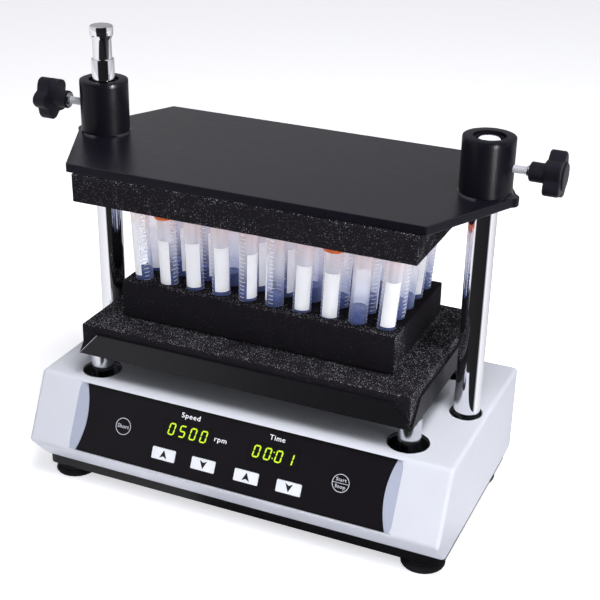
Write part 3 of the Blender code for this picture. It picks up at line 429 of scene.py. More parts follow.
def tube_plastic():
    """Frosted plastic: clearest low down, milky above and at the sides. Painted light and shade are in its colour:
    darker blue low down, where the liquid and the dark foam show through, near white higher up, a painted warm
    glow from the caps at the top and a faint painted glow all over.
    """
    material, tree, shader = new_material("tube_plastic")
    height = add_node(tree, "SeparateXYZ", {"Vector": scaled_place(tree, 1)}).outputs["Z"]
    rise = spread(tree, height, 0.0, 1.0, RACK_HIGH.z, PAD_LOW.z)
    # painted by height: dark blue at the rack, white in the middle, a painted warm glow of the caps near the pad
    stops = [(0.0, (0.32, 0.38, 0.62)), (0.2, (0.42, 0.48, 0.7)), (0.36, (0.8, 0.82, 0.9))]
    stops += [(0.55, (0.92, 0.9, 0.93)), (0.78, (0.95, 0.79, 0.76)), (1.0, (0.9, 0.5, 0.38))]
    cloud = grain(tree, 7 * MM, 3.0, (1, 1, 0.2))
    patchy = ramp(tree, cloud, [(0.3, (0.86, 0.86, 0.88)), (0.7, (1.0, 1.0, 1.0))])
    colour = tinted(tree, 1.0, ramp(tree, rise, stops), patchy)
    inputs = {
        "Base Color": colour,
        # the tube glows faintly: painted light
        "Emission Color": colour,
        "Emission Strength": 0.2,
        "Roughness": 0.22,
        "Specular IOR Level": 0.5,
        "Normal": bumps(tree, cloud, 0.01 * MM),
    }
    feed(shader, inputs)
    facing = add_node(tree, "LayerWeight", {"Blend": 0.35}).outputs["Facing"]
    centre = spread(tree, rise, 0.14, 0.42, 0.1, 0.42)
    milky = spread(tree, facing, centre, 0.72, 0.1, 0.8)
    clear = add_node(tree, "BsdfTransparent", {"Color": (0.95, 0.96, 0.99, 1)}).outputs["BSDF"]
    mixed = add_node(tree, "MixShader", {0: milky, 1: clear, 2: shader.outputs["BSDF"]})
    feed(tree.nodes["Material Output"], {"Surface": mixed.outputs["Shader"]})
    return material


def blue_liquid():
    material, tree, shader = new_material("blue_liquid")
    swirl = grain(tree, 6 * MM, 4.0)
    inputs = {
        "Base Color": ramp(tree, swirl, [(0.3, (0.04, 0.068, 0.24)), (0.7, (0.075, 0.13, 0.42))]),
        "Roughness": 0.12,
        "Normal": bumps(tree, swirl, 0.05 * MM),
    }
    feed(shader, inputs)
    return material


LOOKS = {name: finish_surface(name, **given) for name, given in FINISHES.items()}
for name, specular in (("black_anodised", 0.62), ("collar_black", 0.12)):
    LOOKS[name] = finish_surface(name, **ANODISED, specular=specular)
LOOKS["black_foam"] = black_foam()
LOOKS["circuit_board"] = circuit_board()
LOOKS["ribbon_grey"] = ribbon_grey()
LOOKS["zinc_sheet"] = zinc_sheet()
DISPLAY_LIGHT = display_light()
# the white and grey inks glow a little: painted light on the print
WHITE_INK = legend_ink("white_ink", (0.85, 0.87, 0.93), 0.25)
GREY_INK = legend_ink("grey_ink", (0.62, 0.64, 0.72), 0.1)
BLACK_INK = legend_ink("black_ink", (0.012, 0.012, 0.014))
TICK_INK = legend_ink("tick_ink", (0.85, 0.86, 0.92))


# the recess's curved end ramps, measured from the middle of the panel's face, and the shade painted on them
RAMP_INWARD = 16 * MM
RAMP_END = 167.9 * MM
RAMP_HALF_HEIGHT = 33.2 * MM
RAMP_DEPTH = 8 * MM
# painted shade on the ramps
RAMP_PAINTED_SHADE = (0.64, 0.67, 0.76, 1)


def between(tree, value, low, high):
    """1 where the value lies between low and high, else 0."""
    above = calculate(tree, "GREATER_THAN", value, low)
    return product(tree, above, calculate(tree, "LESS_THAN", value, high))


def offset_along(tree, direction):
    """How far a point lies in a direction, measured from the middle of the panel's face."""
    inputs = {0: add_node(tree, "TexCoord").outputs["Object"], 1: direction}
    distance = add_node(tree, "VectorMath", inputs, operation="DOT_PRODUCT").outputs["Value"]
    return calculate(tree, "SUBTRACT", distance, PANEL_FACE.translation.dot(direction))


def recess_ends(tree):
    """1 on the curved ramps at both ends of the panel's recess, where shade is painted, else 0."""
    corners = [vertex.co.dot(SLOPE_OUT) for vertex in frame["nodes"]["top_housing"].data.vertices]
    slope = max(corners) - PANEL_FACE.translation.dot(SLOPE_OUT)
    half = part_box("front_panel")[1].x - PANEL_FACE.translation.x
    aside = calculate(tree, "ABSOLUTE", offset_along(tree, Vector((1, 0, 0))))
    aside = between(tree, aside, half - RAMP_INWARD, RAMP_END)
    outward = between(tree, offset_along(tree, SLOPE_OUT), -RAMP_DEPTH, slope - 0.03 * MM)
    upward = offset_along(tree, SLOPE_UP)
    return product(tree, aside, outward, between(tree, upward, -RAMP_HALF_HEIGHT, RAMP_HALF_HEIGHT))


def paint_shade_on_ramps():
    """Paints shade, a darker bluer grey, into the housing's paint on the ramps at the ends of the panel's recess,
    which face away from the light, and gives them the slope's smooth normal.
    """
    tree = LOOKS["housing_paint"].node_tree
    shader = tree.nodes["Principled BSDF"]
    ends = recess_ends(tree)
    paint, relief = (shader.inputs[name].links[0].from_socket for name in ("Base Color", "Normal"))
    smooth = add_node(tree, "Mix", {0: ends, 4: relief, 5: SLOPE_OUT}, data_type="VECTOR")
    feed(shader, {"Normal": smooth.outputs[1], "Base Color": tinted(tree, ends, paint, RAMP_PAINTED_SHADE)})


def dull_the_edges():
    """Makes the satin black of the plate duller on its sawn edges."""
    tree = LOOKS["black_anodised"].node_tree
    facing = add_node(tree, "NewGeometry").outputs["True Normal"]
    upward = add_node(tree, "SeparateXYZ", {"Vector": facing}).outputs["Z"]
    shine = spread(tree, calculate(tree, "ABSOLUTE", upward), 0.1, 0.62, 0.3, 0.9)
    feed(tree.nodes["Principled BSDF"], {"Specular IOR Level": shine})


def paint_glow_on_labels():
    """Paints light on the tube labels: a small glow makes them as bright as white paper lit between the tubes."""
    shader = LOOKS["label_paper"].node_tree.nodes["Principled BSDF"]
    feed(shader, {"Emission Color": (0.92, 0.93, 1, 1), "Emission Strength": 0.24})


def dress_frame():
    """Gives every node of the frame the finish of its material slot."""
    for row in frame["record"]["subparts"]:
        obj = frame["nodes"][row["node"]]
        for index in range(len(obj.material_slots)):
            obj.material_slots[index].material = LOOKS[row["material_slot"]]


# -------- mesh helpers


def add_piece(name, bm, body, slot, material=None, sharp=30):
    """Turns a bmesh drawn in the frame's space into a piece that rides on a body."""
    bmesh.ops.recalc_face_normals(bm, faces=bm.faces)
    mesh = bpy.data.meshes.new(name)
    bm.to_mesh(mesh)
    bm.free()
    mesh.shade_smooth()
    mesh.set_sharp_from_angle(angle=math.radians(sharp))
    mesh.materials.append(material or LOOKS[slot])
    piece = add_object(name, mesh)
    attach(piece, body)
    return piece


def move(x, y, z):
    return Matrix.Translation((x, y, z))


def merge(bm, other, matrix=Matrix.Identity(4)):
    """Adds another bmesh's shapes to bm, moved by matrix."""
    scratch = bpy.data.meshes.new("scratch")
    other.to_mesh(scratch)
    other.free()
    scratch.transform(matrix)
    bm.from_mesh(scratch)
    bpy.data.meshes.remove(scratch)


def add_rings(bm, rings):
    """Skins closed loops of equal length one after another and closes both ends."""
    rows = [[bm.verts.new(point) for point in ring] for ring in rings]
    count = len(rows[0])
    for lower, upper in zip(rows, rows[1:]):
        for i in range(count):
            j = (i + 1) % count
            bm.faces.new((lower[i], lower[j], upper[j], upper[i]))
    for row, flip in ((rows[0], True), (rows[-1], False)):
        bm.faces.new(row[::-1] if flip else row)
    return bm


def circle(radius, height, steps):
    turns = [2 * math.pi * i / steps for i in range(steps)]
    return [Vector((radius * math.cos(a), radius * math.sin(a), height)) for a in turns]


def turned(profile, steps=28):
    """A solid of revolution round Z from (radius, height) points, bottom to top."""
    return add_rings(bmesh.new(), [circle(radius, height, steps) for radius, height in profile])


def turned_ring(section, steps=64):
    """A ring round Z whose closed section is given as (radius, height) points."""
    bm = bmesh.new()
    rows = [[bm.verts.new(point) for point in circle(radius, z, steps)] for radius, z in section]
    for row, following in zip(rows, rows[1:] + rows[:1]):
        for i in range(steps):
            j = (i + 1) % steps
            bm.faces.new((row[i], row[j], following[j], following[i]))
    return bm


def flat_ring(inner, outer, low, high):
    return turned_ring(((inner, low), (outer, low), (outer, high), (inner, high)))


def extruded(outline, low, high):
    bm = bmesh.new()
    rings = [[Vector((x, y, z)) for x, y in outline] for z in (low, high)]
    return add_rings(bm, rings)


def carve(piece, cutters):
    """Cuts the cutters' shapes out of a piece and keeps the result as its mesh."""
    mesh = bpy.data.meshes.new("cutters")
    bmesh.ops.recalc_face_normals(cutters, faces=cutters.faces)
    cutters.to_mesh(mesh)
    cutters.free()
    tool = add_object("cutters", mesh)
    boolean = piece.modifiers.new("carve", "BOOLEAN")
    boolean.operation = "DIFFERENCE"
    boolean.solver = "EXACT"
    boolean.object = tool
    bpy.context.view_layer.update()
    graph = bpy.context.evaluated_depsgraph_get()
    carved = bpy.data.meshes.new_from_object(piece.evaluated_get(graph))
    piece.modifiers.clear()
    piece.data = carved
    bpy.data.objects.remove(tool)
    bpy.data.meshes.remove(mesh)


# -------- tubes

SEED = 7
COLUMNS = 10
ROWS = 5
TUBE_MARGIN = (15.4 * MM, 17.3 * MM)
TUBE_RADIUS = 8.5 * MM
TUBE_TIP = -21 * MM
TUBE_CONE_TOP = -1.5 * MM
TUBE_TOP = 80 * MM
CAP_LOW = 69.5 * MM
CAP_HEIGHT = 18.3 * MM
CAP_RADIUS = 10.9 * MM
CAP_RIBS = 40
LEAN_LEFT = math.radians(-3.2)
LEAN_RIGHT = math.radians(4.6)
LEAN_JITTER = math.radians(0.45)
LABEL_ARC = math.radians(104)
LABEL_HEIGHT = 44 * MM
LABEL_THICK = 0.12 * MM
TICK_COUNT = 19
TICK_STEP = 3.9 * MM
TICK_WIDTH = 0.55 * MM
LONG_TICK = math.radians(50)
SHORT_TICK = math.radians(32)
TICK_TURN = math.radians(87)
# how far each front tube's label is turned from the viewer, left to right
FRONT_LABEL_TURNS = (-62, -38, -8, 14, 48, -112, 0, -4, 165, 6)
# front tubes pushed so deep that their caps show below the pressure foam
SUNK_COLUMNS = (1, 7)
CAP_SHOWING = 3.8 * MM


class Tube:
    """One tube's place: its matrix has its origin on the rack's top and Z along the tube."""

    def __init__(self, column, row, dice):
        spacing_x = (RACK_HIGH.x - RACK_LOW.x - 2 * TUBE_MARGIN[0]) / (COLUMNS - 1)
        spacing_y = (RACK_HIGH.y - RACK_LOW.y - 2 * TUBE_MARGIN[1]) / (ROWS - 1)
        x = RACK_LOW.x + TUBE_MARGIN[0] + column * spacing_x
        y = RACK_LOW.y + TUBE_MARGIN[1] + row * spacing_y
        share = column / (COLUMNS - 1)
        lean = LEAN_LEFT + (LEAN_RIGHT - LEAN_LEFT) * share + dice.uniform(-1, 1) * LEAN_JITTER
        nod = dice.uniform(-1, 1) * LEAN_JITTER / 2
        turn = math.radians(dice.uniform(-180, 180))
        if row == 0:
            turn = math.radians(FRONT_LABEL_TURNS[column])
        self.level = dice.uniform(8 * MM, 16 * MM)
        sink = CAP_SHOWING if row == 0 and column in SUNK_COLUMNS else 0.0
        self.label_low = dice.uniform(2 * MM, 6 * MM)
        tilt = Matrix.Rotation(lean, 4, "Y") @ Matrix.Rotation(nod, 4, "X")
        facing = Matrix.Rotation(VIEW_AZIMUTH - math.pi / 2 + turn, 4, "Z")
        self.matrix = move(x, y, RACK_HIGH.z - sink) @ tilt @ facing


def all_tubes():
    dice = random.Random(SEED)
    return [Tube(column, row, dice) for row in range(ROWS) for column in range(COLUMNS)]


TUBES = all_tubes()


def tube_shell():
    profile = [
        (2.0 * MM, TUBE_TIP),
        (2.9 * MM, TUBE_TIP + 0.7 * MM),
        (3.4 * MM, TUBE_TIP + 2.4 * MM),
        (TUBE_RADIUS - 0.5 * MM, TUBE_CONE_TOP - 1.5 * MM),
        (TUBE_RADIUS, TUBE_CONE_TOP),
        (TUBE_RADIUS, TUBE_TOP - 0.6 * MM),
        (TUBE_RADIUS - 0.6 * MM, TUBE_TOP),
    ]
    return turned(profile, 32)


def tube_liquid(level):
    inner = TUBE_RADIUS - 1.1 * MM
    profile = [
        (1.2 * MM, TUBE_TIP + 1.2 * MM),
        (2.4 * MM, TUBE_TIP + 2.6 * MM),
        (inner, TUBE_CONE_TOP),
        (inner, level + 0.7 * MM),
        (inner - 0.5 * MM, level + 0.25 * MM),
        (inner - 1.6 * MM, level),
    ]
    return turned(profile, 28)


def curved_patch(bm, centre, arc, low, high, radius, thickness, steps):
    """A thin patch wrapped round Z, centred on the angle centre."""
    rings = []
    for step in range(steps + 1):
        angle = centre + arc * (step / steps - 0.5)
        out = Vector((math.cos(angle), math.sin(angle), 0))
        inner, outer = out * radius, out * (radius + thickness)
        ring = [inner, outer, outer, inner]
        rings.append([point + Vector((0, 0, z)) for point, z in zip(ring, (low, low, high, high))])
    add_rings(bm, rings)


def tube_label(low):
    bm = bmesh.new()
    radius = TUBE_RADIUS + 0.05 * MM
    curved_patch(bm, 0, LABEL_ARC, low, low + LABEL_HEIGHT, radius, LABEL_THICK, 12)
    return bm


def tube_ticks():
    """Volume marks up both sides of the label, every fifth one longer."""
    bm = bmesh.new()
    radius = TUBE_RADIUS + 0.04 * MM
    for side in (-1, 1):
        for i in range(TICK_COUNT):
            arc = SHORT_TICK if i % 5 else LONG_TICK
            low = -MM + i * TICK_STEP
            curved_patch(bm, side * TICK_TURN, arc, low, low + TICK_WIDTH, radius, 0.08 * MM, 5)
    return bm


def tube_cap():
    """Screw cap with a ribbed skirt and a chamfered top."""
    steps = CAP_RIBS * 2
    top = CAP_LOW + CAP_HEIGHT
    plain = CAP_RADIUS - 0.35 * MM
    levels = [
        (TUBE_RADIUS + 0.3 * MM, CAP_LOW, 0),
        (plain, CAP_LOW, 0),
        (plain + 0.05 * MM, CAP_LOW + 0.9 * MM, 0),
        (CAP_RADIUS, CAP_LOW + 1.4 * MM, 1),
        (CAP_RADIUS, top - 1.8 * MM, 1),
        (plain, top - 1.2 * MM, 0),
        (plain - 0.9 * MM, top, 0),
    ]
    rings = []
    for radius, height, ribbed in levels:
        ring = circle(radius, height, steps)
        if ribbed:
            ring[::2] = circle(radius - 0.5 * MM, height, steps)[::2]
        rings.append(ring)
    return add_rings(bmesh.new(), rings)


def build_tubes():
    """All tubes as five pieces, one for each thing they are made of."""
    kinds = {
        "tube_bodies": (lambda tube: tube_shell(), tube_plastic(), 40),
        "tube_liquid": (lambda tube: tube_liquid(tube.level), blue_liquid(), 60),
        "tube_labels": (lambda tube: tube_label(tube.label_low), LOOKS["label_paper"], 40),
        "tube_marks": (lambda tube: tube_ticks(), TICK_INK, 40),
        "tube_caps": (lambda tube: tube_cap(), LOOKS["cap_orange"], 25),
    }
    for name, (shape, material, sharp) in kinds.items():
        bm = bmesh.new()
        for tube in TUBES:
            merge(bm, shape(tube), tube.matrix)
        add_piece(name, bm, "table", "key_white", material, sharp)


# -------- foams

FOAM_STEP = 3 * MM
FOAM_ROUND = 1.4 * MM
FOAM_WAVE = 14 * MM
FOAM_WAVE_DEPTH = 0.35 * MM
FOAM_PORE = 4.5 * MM
FOAM_PORE_DEPTH = 0.22 * MM
FOAM_SHARP = 50


def grid_lines(low, high):
    """Positions along one side of a slab, with closer lines where its edge is rounded."""
    edge = [0, FOAM_ROUND * 0.45, FOAM_ROUND]
    inner = high - low - 2 * FOAM_ROUND
    count = max(2, round(inner / FOAM_STEP))
    middle = [low + FOAM_ROUND + inner * i / count for i in range(1, count)]
    return [low + e for e in edge] + middle + [high - e for e in reversed(edge)]


def foam_slab(low, high):
    """A finely gridded slab with rounded edges."""
    lines = [grid_lines(a, b) for a, b in zip(low, high)]
    last = [len(line) - 1 for line in lines]
    bm = bmesh.new()
    verts = {}

    def vertex(*index):
        if index not in verts:
            verts[index] = bm.verts.new([line[i] for line, i in zip(lines, index)])
        return verts[index]

    for axis in range(3):
        u, v = (axis + 1) % 3, (axis + 2) % 3
        for end in (0, last[axis]):
            for i in range(last[u]):
                for j in range(last[v]):
                    corners = []
                    for du, dv in ((0, 0), (1, 0), (1, 1), (0, 1)):
                        index = [0, 0, 0]
                        index[axis], index[u], index[v] = end, i + du, j + dv
                        corners.append(vertex(*index))
                    bm.faces.new(corners if end else corners[::-1])
    inner_low = Vector(low) + Vector((FOAM_ROUND,) * 3)
    inner_high = Vector(high) - Vector((FOAM_ROUND,) * 3)
    for vert in bm.verts:
        core = Vector([min(max(c, a), b) for c, a, b in zip(vert.co, inner_low, inner_high)])
        out = vert.co - core
        if out.length > 0:
            vert.co = core + out.normalized() * FOAM_ROUND
    return bm


def ruffle(mesh):
    """Gives a foam's faces a slight swell and an uneven skin that never leaves its own box."""
    bm = bmesh.new()
    bm.from_mesh(mesh)
    bm.normal_update()
    for vert in bm.verts:
        swell = noise.noise(vert.co / FOAM_WAVE)
        skin = noise.noise(vert.co / FOAM_PORE)
        depth = FOAM_WAVE_DEPTH * (swell - 1) / 2 + FOAM_PORE_DEPTH * (skin - 1) / 2
        vert.co += vert.normal * depth
    bm.to_mesh(mesh)
    bm.free()


def build_foam(name, node, body, cutter=None):
    foam = add_piece(name, foam_slab(*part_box(node)), body, "black_foam", sharp=FOAM_SHARP)
    if cutter:
        holes = bmesh.new()
        for tube in TUBES:
            merge(holes, turned(cutter, 24), tube.matrix)
        carve(foam, holes)
    ruffle(foam.data)
    foam.data.shade_smooth()
    foam.data.set_sharp_from_angle(angle=math.radians(FOAM_SHARP))
    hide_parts(node)


def build_foams():
    room = 0.5 * MM
    hole = [
        (3.4 * MM + room, TUBE_TIP - 2 * MM),
        (TUBE_RADIUS + room, TUBE_CONE_TOP - MM),
        (TUBE_RADIUS + room, 6 * MM),
    ]
    pocket_radius = CAP_RADIUS + room
    pocket = [(pocket_radius, 60 * MM), (pocket_radius, CAP_LOW + CAP_HEIGHT + 0.4 * MM)]
    build_foam("foam_base_pad", "base_foam", "table")
    build_foam("foam_tube_rack", "tube_foam", "table", hole)
    build_foam("foam_pressure_pad", "pressure_foam", "clamp", pocket)


# -------- clamp screws and knobs

THREAD_PITCH = 1.8 * MM
THREAD_DEPTH = 0.8 * MM
KNOB_RADIUS = 21.3 * MM
KNOB_VALLEY = 15.8 * MM
KNOB_LOBES = 5
KNOB_STEPS = 120
HUB_RADIUS = 8.65 * MM
STAR_LOW = 15.0 * MM
STAR_HIGH = 29.4 * MM
CAP_DISC_RADIUS = 12 * MM
CAP_GROOVE = 0.7 * MM
BOSS_RADIUS = 4.7 * MM
BOSS_HEIGHT = 2.6 * MM


def axis_frame(start_x, height, side):
    """A matrix whose Z points away from the machine along a clamp screw."""
    out = Vector((side, 0, 0))
    turn = out.to_track_quat("Z", "Y").to_matrix().to_4x4()
    return Matrix.Translation((start_x, MIDDLE.y, height)) @ turn


def threaded_rod(length, radius):
    steps = 32
    rows = round(length / THREAD_PITCH * 6)
    rings = []
    for row in range(rows + 1):
        height = length * row / rows
        plain = height < MM or length - height < MM
        ring = []
        for i, point in enumerate(circle(1, 0, steps)):
            wave = 1 if plain else abs(((height / THREAD_PITCH - i / steps) % 1) - 0.5) * 2
            ring.append((radius - THREAD_DEPTH * wave) * point + Vector((0, 0, height)))
        rings.append(ring)
    return add_rings(bmesh.new(), rings)


def rounding(size, face, edge, steps, is_bottom):
    """(size, height) points round the edge of a bottom or top face, from low to high."""
    made = []
    for i in range(steps + 1):
        turn = math.pi / 2 * i / steps
        rise = edge * (1 - math.cos(turn))
        made.append((size - edge * (1 - math.sin(turn)), face + rise if is_bottom else face - rise))
    return made if is_bottom else made[::-1]


def star_ring(inset, height):
    ring = []
    for i, point in enumerate(circle(1, 0, KNOB_STEPS)):
        swell = 0.5 + 0.5 * math.cos(KNOB_LOBES * 2 * math.pi * i / KNOB_STEPS)
        radius = KNOB_VALLEY + (KNOB_RADIUS - KNOB_VALLEY) * swell**0.75 + inset
        ring.append(radius * point + Vector((0, 0, height)))
    return ring


def star_knob():
    """Five-lobed clamp knob: hub, rounded star and a flat cap disc in its face."""
    disc = CAP_DISC_RADIUS
    floor = STAR_HIGH - CAP_GROOVE
    hub = [(BOSS_RADIUS, 0)] + rounding(HUB_RADIUS, 0, 1.4 * MM, 4, True)
    hub += [(HUB_RADIUS, STAR_LOW - 1.5 * MM), (HUB_RADIUS + 0.6 * MM, STAR_LOW - 0.4 * MM)]
    hub += [(HUB_RADIUS + 1.6 * MM, STAR_LOW)]
    star = rounding(0, STAR_LOW, 1.4 * MM, 5, True) + rounding(0, STAR_HIGH, 2.4 * MM, 6, False)
    cap = [(disc + CAP_GROOVE, STAR_HIGH), (disc + CAP_GROOVE / 2, floor), (disc, floor)]
    cap += [(disc, STAR_HIGH + 0.9 * MM), (disc - 0.7 * MM, STAR_HIGH + 1.5 * MM)]
    cap += [(disc - 2 * MM, STAR_HIGH + 1.6 * MM)]
    rings = [circle(*point, KNOB_STEPS) for point in hub]
    rings += [star_ring(*point) for point in star]
    rings += [circle(*point, KNOB_STEPS) for point in cap]
    return add_rings(bmesh.new(), rings)


def knob_insert():
    """The bright boss where the rod enters the knob."""
    low, collar = -0.3 * MM, 6.9 * MM
    profile = [(BOSS_RADIUS - 0.4 * MM, -BOSS_HEIGHT), (BOSS_RADIUS, -BOSS_HEIGHT + 0.4 * MM)]
    profile += [(BOSS_RADIUS, low), (collar - 0.2 * MM, low), (collar, -0.1 * MM), (collar, 0.25 * MM)]
    return turned(profile, 40)


def build_clamp_screws():
    for side, sign in (("left", -1), ("right", 1)):
        rod_low, rod_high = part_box(f"clamp_screw_{side}")
        knob_low, knob_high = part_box(f"clamp_knob_{side}")
        height = (rod_low.z + rod_high.z) / 2
        rod_at = axis_frame(rod_high.x if sign < 0 else rod_low.x, height, sign)
        hub_at = axis_frame(knob_high.x if sign < 0 else knob_low.x, height, sign)
        rod = threaded_rod(rod_high.x - rod_low.x, (rod_high.z - rod_low.z) / 2)
        rod.transform(rod_at)
        knob = star_knob()
        knob.transform(hub_at)
        insert = knob_insert()
        insert.transform(hub_at)
        body = f"knob_{side}"
        look = LOOKS["zinc_thread"]
        made = add_piece(f"threaded_rod_{side}", rod, body, "satin_steel", look, 60)
        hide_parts(f"clamp_screw_{side}")
        made = add_piece(f"star_knob_{side}", knob, body, "knob_plastic", sharp=38)
        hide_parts(f"clamp_knob_{side}")
        add_piece(f"knob_insert_{side}", insert, body, "satin_steel")


# -------- keypad graphics

INK_THICK = 0.06 * MM
INK_LIFT = 0.02 * MM
KEY_RING_WIDTH = 0.55 * MM
DIGIT_WIDTH = 6.8 * MM
DIGIT_HEIGHT = 11.9 * MM
DIGIT_STROKE = 1.35 * MM
DIGIT_PITCH = 11.3 * MM
DIGIT_SLANT = math.tan(math.radians(9))
SEGMENT_GAP = 0.16 * MM
SEGMENTS = {"0": "abcdef", "1": "bc", "5": "acdfg"}
# each segment's two ends, as shares of the way from the digit's middle to its outermost ones
SEGMENT_ENDS = {
    "a": ((-1, 1), (1, 1)),
    "b": ((1, 1), (1, 0)),
    "c": ((1, 0), (1, -1)),
    "d": ((-1, -1), (1, -1)),
    "e": ((-1, 0), (-1, -1)),
    "f": ((-1, 1), (-1, 0)),
    "g": ((-1, 0), (1, 0)),
}


def add_bar(bm, start, end, x_shift):
    """A pointed bar between two ends, slanted like the display."""
    start, end = Vector((*start, 0)), Vector((*end, 0))
    ahead = (end - start).normalized()
    side = Vector((-ahead.y, ahead.x, 0)) * DIGIT_STROKE / 2
    start, end = start + SEGMENT_GAP * ahead, end - SEGMENT_GAP * ahead
    taper = ahead * DIGIT_STROKE * 0.42
    outline = [start, start + taper - side, end - taper - side]
    outline += [end, end - taper + side, start + taper + side]
    slanted = [(p.x + p.y * DIGIT_SLANT + x_shift, p.y) for p in outline]
    merge(bm, extruded(slanted, 0, INK_THICK))


def build_display(node, digits, colon):
    bm = bmesh.new()
    half_width = (DIGIT_WIDTH - DIGIT_STROKE) / 2
    half_height = (DIGIT_HEIGHT - DIGIT_STROKE) / 2
    for i, digit in enumerate(digits):
        shift = (i - (len(digits) - 1) / 2) * DIGIT_PITCH
        for segment in SEGMENTS[digit]:
            ends = [(x * half_width, y * half_height) for x, y in SEGMENT_ENDS[segment]]
            add_bar(bm, *ends, shift)
    if colon:
        for y in (-2.9 * MM, 2.9 * MM):
            dot = turned([(0.62 * MM, 0), (0.62 * MM, INK_THICK)], 16)
            merge(bm, dot, move(y * DIGIT_SLANT, y, 0))
    bm.transform(face_frame(node) @ move(0, 0, INK_LIFT))
    add_piece(f"{node}_digits", bm, "base", "display_lens", DISPLAY_LIGHT)


def add_words(name, words, size, width, place, body, material, boldness=0.006):
    """Printed words of a given width, centred on place, which is a matrix on the panel's face."""
    curve = bpy.data.curves.new(name, "FONT")
    curve.body = words
    curve.size = size
    curve.align_x = "CENTER"
    curve.align_y = "CENTER"
    curve.extrude = INK_THICK / 2
    curve.offset = boldness * size
    curve.resolution_u = 4
    curve.space_character = 1.12
    drawn = add_object(name, curve)
    graph = bpy.context.evaluated_depsgraph_get()
    mesh = bpy.data.meshes.new_from_object(drawn.evaluated_get(graph))
    bpy.data.objects.remove(drawn)
    bm = bmesh.new()
    bm.from_mesh(mesh)
    bpy.data.meshes.remove(mesh)
    bmesh.ops.remove_doubles(bm, verts=bm.verts, dist=0.002 * MM)
    left = min(vert.co.x for vert in bm.verts)
    right = max(vert.co.x for vert in bm.verts)
    centring = move(-(left + right) / 2, 0, 0)
    bm.transform(Matrix.Diagonal((width / (right - left), 1, 1, 1)) @ centring)
    bm.transform(place @ move(0, 0, INK_THICK / 2 + INK_LIFT))
    add_piece(name, bm, body, "key_white", material)


def build_round_key(node, body, radius, lines):
    """A ring with one word in it, or with two words either side of a bar."""
    place = face_frame(node)
    outline = flat_ring(radius - KEY_RING_WIDTH, radius, 0, INK_THICK)
    height, width, spacing = 5.4 * MM, 12.2 * MM, 0
    if len(lines) == 2:
        height, width, spacing = 4.6 * MM, 10.2 * MM, 6.4 * MM
        half, thin = radius - 0.4 * MM, 0.2 * MM
        bar = [(-half, -thin), (half, -thin), (half, thin), (-half, thin)]
        merge(outline, extruded(bar, 0, INK_THICK))
    outline.transform(place @ move(0, 0, INK_LIFT))
    add_piece(f"{node}_ring", outline, body, "key_white", GREY_INK)
    for i, words in enumerate(lines):
        at = place @ move(0, (0.5 - i) * spacing, 0)
        add_words(f"{node}_word_{i + 1}", words, height, width, at, body, GREY_INK)


def build_arrow_key(node, body, points_up):
    half, tip, notch = 3.9 * MM, 4.0 * MM, -2.0 * MM
    outline = [(0, tip), (-half, -tip), (0, notch), (half, -tip)]
    if not points_up:
        outline = [(x, -y) for x, y in reversed(outline)]
    arrow = extruded(outline, INK_LIFT, INK_LIFT + INK_THICK)
    arrow.transform(face_frame(node))
    add_piece(f"{node}_arrow", arrow, body, "panel_gloss", BLACK_INK)


def build_keypad():
    build_display("speed_display", "0500", False)
    build_display("time_display", "0001", True)
    speed = face_frame("speed_display")
    time = face_frame("time_display")
    words = (
        ("label_speed", "Speed", 19.6 * MM, speed, (0.3 * MM, 15.4 * MM)),
        ("label_rpm", "rpm", 12.6 * MM, speed, (34.6 * MM, 0.9 * MM)),
        ("label_time", "Time", 15.6 * MM, time, (1.2 * MM, 15.8 * MM)),
    )
    for name, text, width, at, (x, y) in words:
        add_words(name, text, 6.8 * MM, width, at @ move(x, y, 0), "base", WHITE_INK, 0.004)
    build_round_key("short_button", "short_key", 8.2 * MM, ["Short"])
    build_round_key("start_stop_button", "start_stop_key", 8.4 * MM, ["Start", "Stop"])
    for kind in ("speed", "time"):
        build_arrow_key(f"{kind}_up_button", f"{kind}_up_key", True)
        build_arrow_key(f"{kind}_down_button", f"{kind}_down_key", False)


# -------- small fittings

CORNERS = ("front_left", "front_right", "rear_left", "rear_right")
CLAMP_HOLE = 15.5 * MM
SUPPORT_HOLE = 19.5 * MM
# how far in from a corner the tray's flange is cut, along its upper side
TRAY_CUT = 21 * MM
ROUND_STEPS = 96
POST_EDGE = 0.8 * MM
# heights above the housing's top
POST_SHOULDER = 250 * MM
HEAD_NECK = (291.7 * MM, 310 * MM)
NECK_RADIUS = 9.15 * MM
HEAD_RADIUS = 11.2 * MM
COLLAR_BORE = 12.9 * MM
COLLAR_MOUTH = 14.5 * MM


def build_screws(name, radius, height, places):
    """Pan heads with a cross cut in, one at each matrix, whose Z points out of the sheet."""
    arm, half = 1.6 * MM, 0.3 * MM
    cross = []
    for u, v in ((1, 0), (0, 1), (-1, 0), (0, -1)):
        for x, y in ((arm, -half), (arm, half), (half, half)):
            cross.append((u * x - v * y, v * x + u * y))
    head = [(radius, 0), (radius, height * 0.45), (radius * 0.86, height * 0.8), (radius * 0.5, height)]
    screws, crosses = bmesh.new(), bmesh.new()
    for place in places:
        merge(screws, turned(head, 24), place)
        merge(crosses, extruded(cross, height * 0.5, height * 0.5 + MM), place)
    carve(add_piece(name, screws, "base", "zinc_sheet"), crosses)


def build_base_screws():
    low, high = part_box("base_plate")
    down = Matrix.Rotation(math.pi, 4, "X")
    places = []
    for x in (low.x + 14 * MM, (low.x + high.x) / 2, high.x - 14 * MM):
        places += [move(x, y, low.z) @ down for y in (low.y + 12 * MM, high.y - 12 * MM)]
    build_screws("base_screws", 3.4 * MM, 1.9 * MM, places)


def joint_place(name):
    return Vector(next(joint["pos_m"] for joint in frame["joints"] if joint["name"] == name))


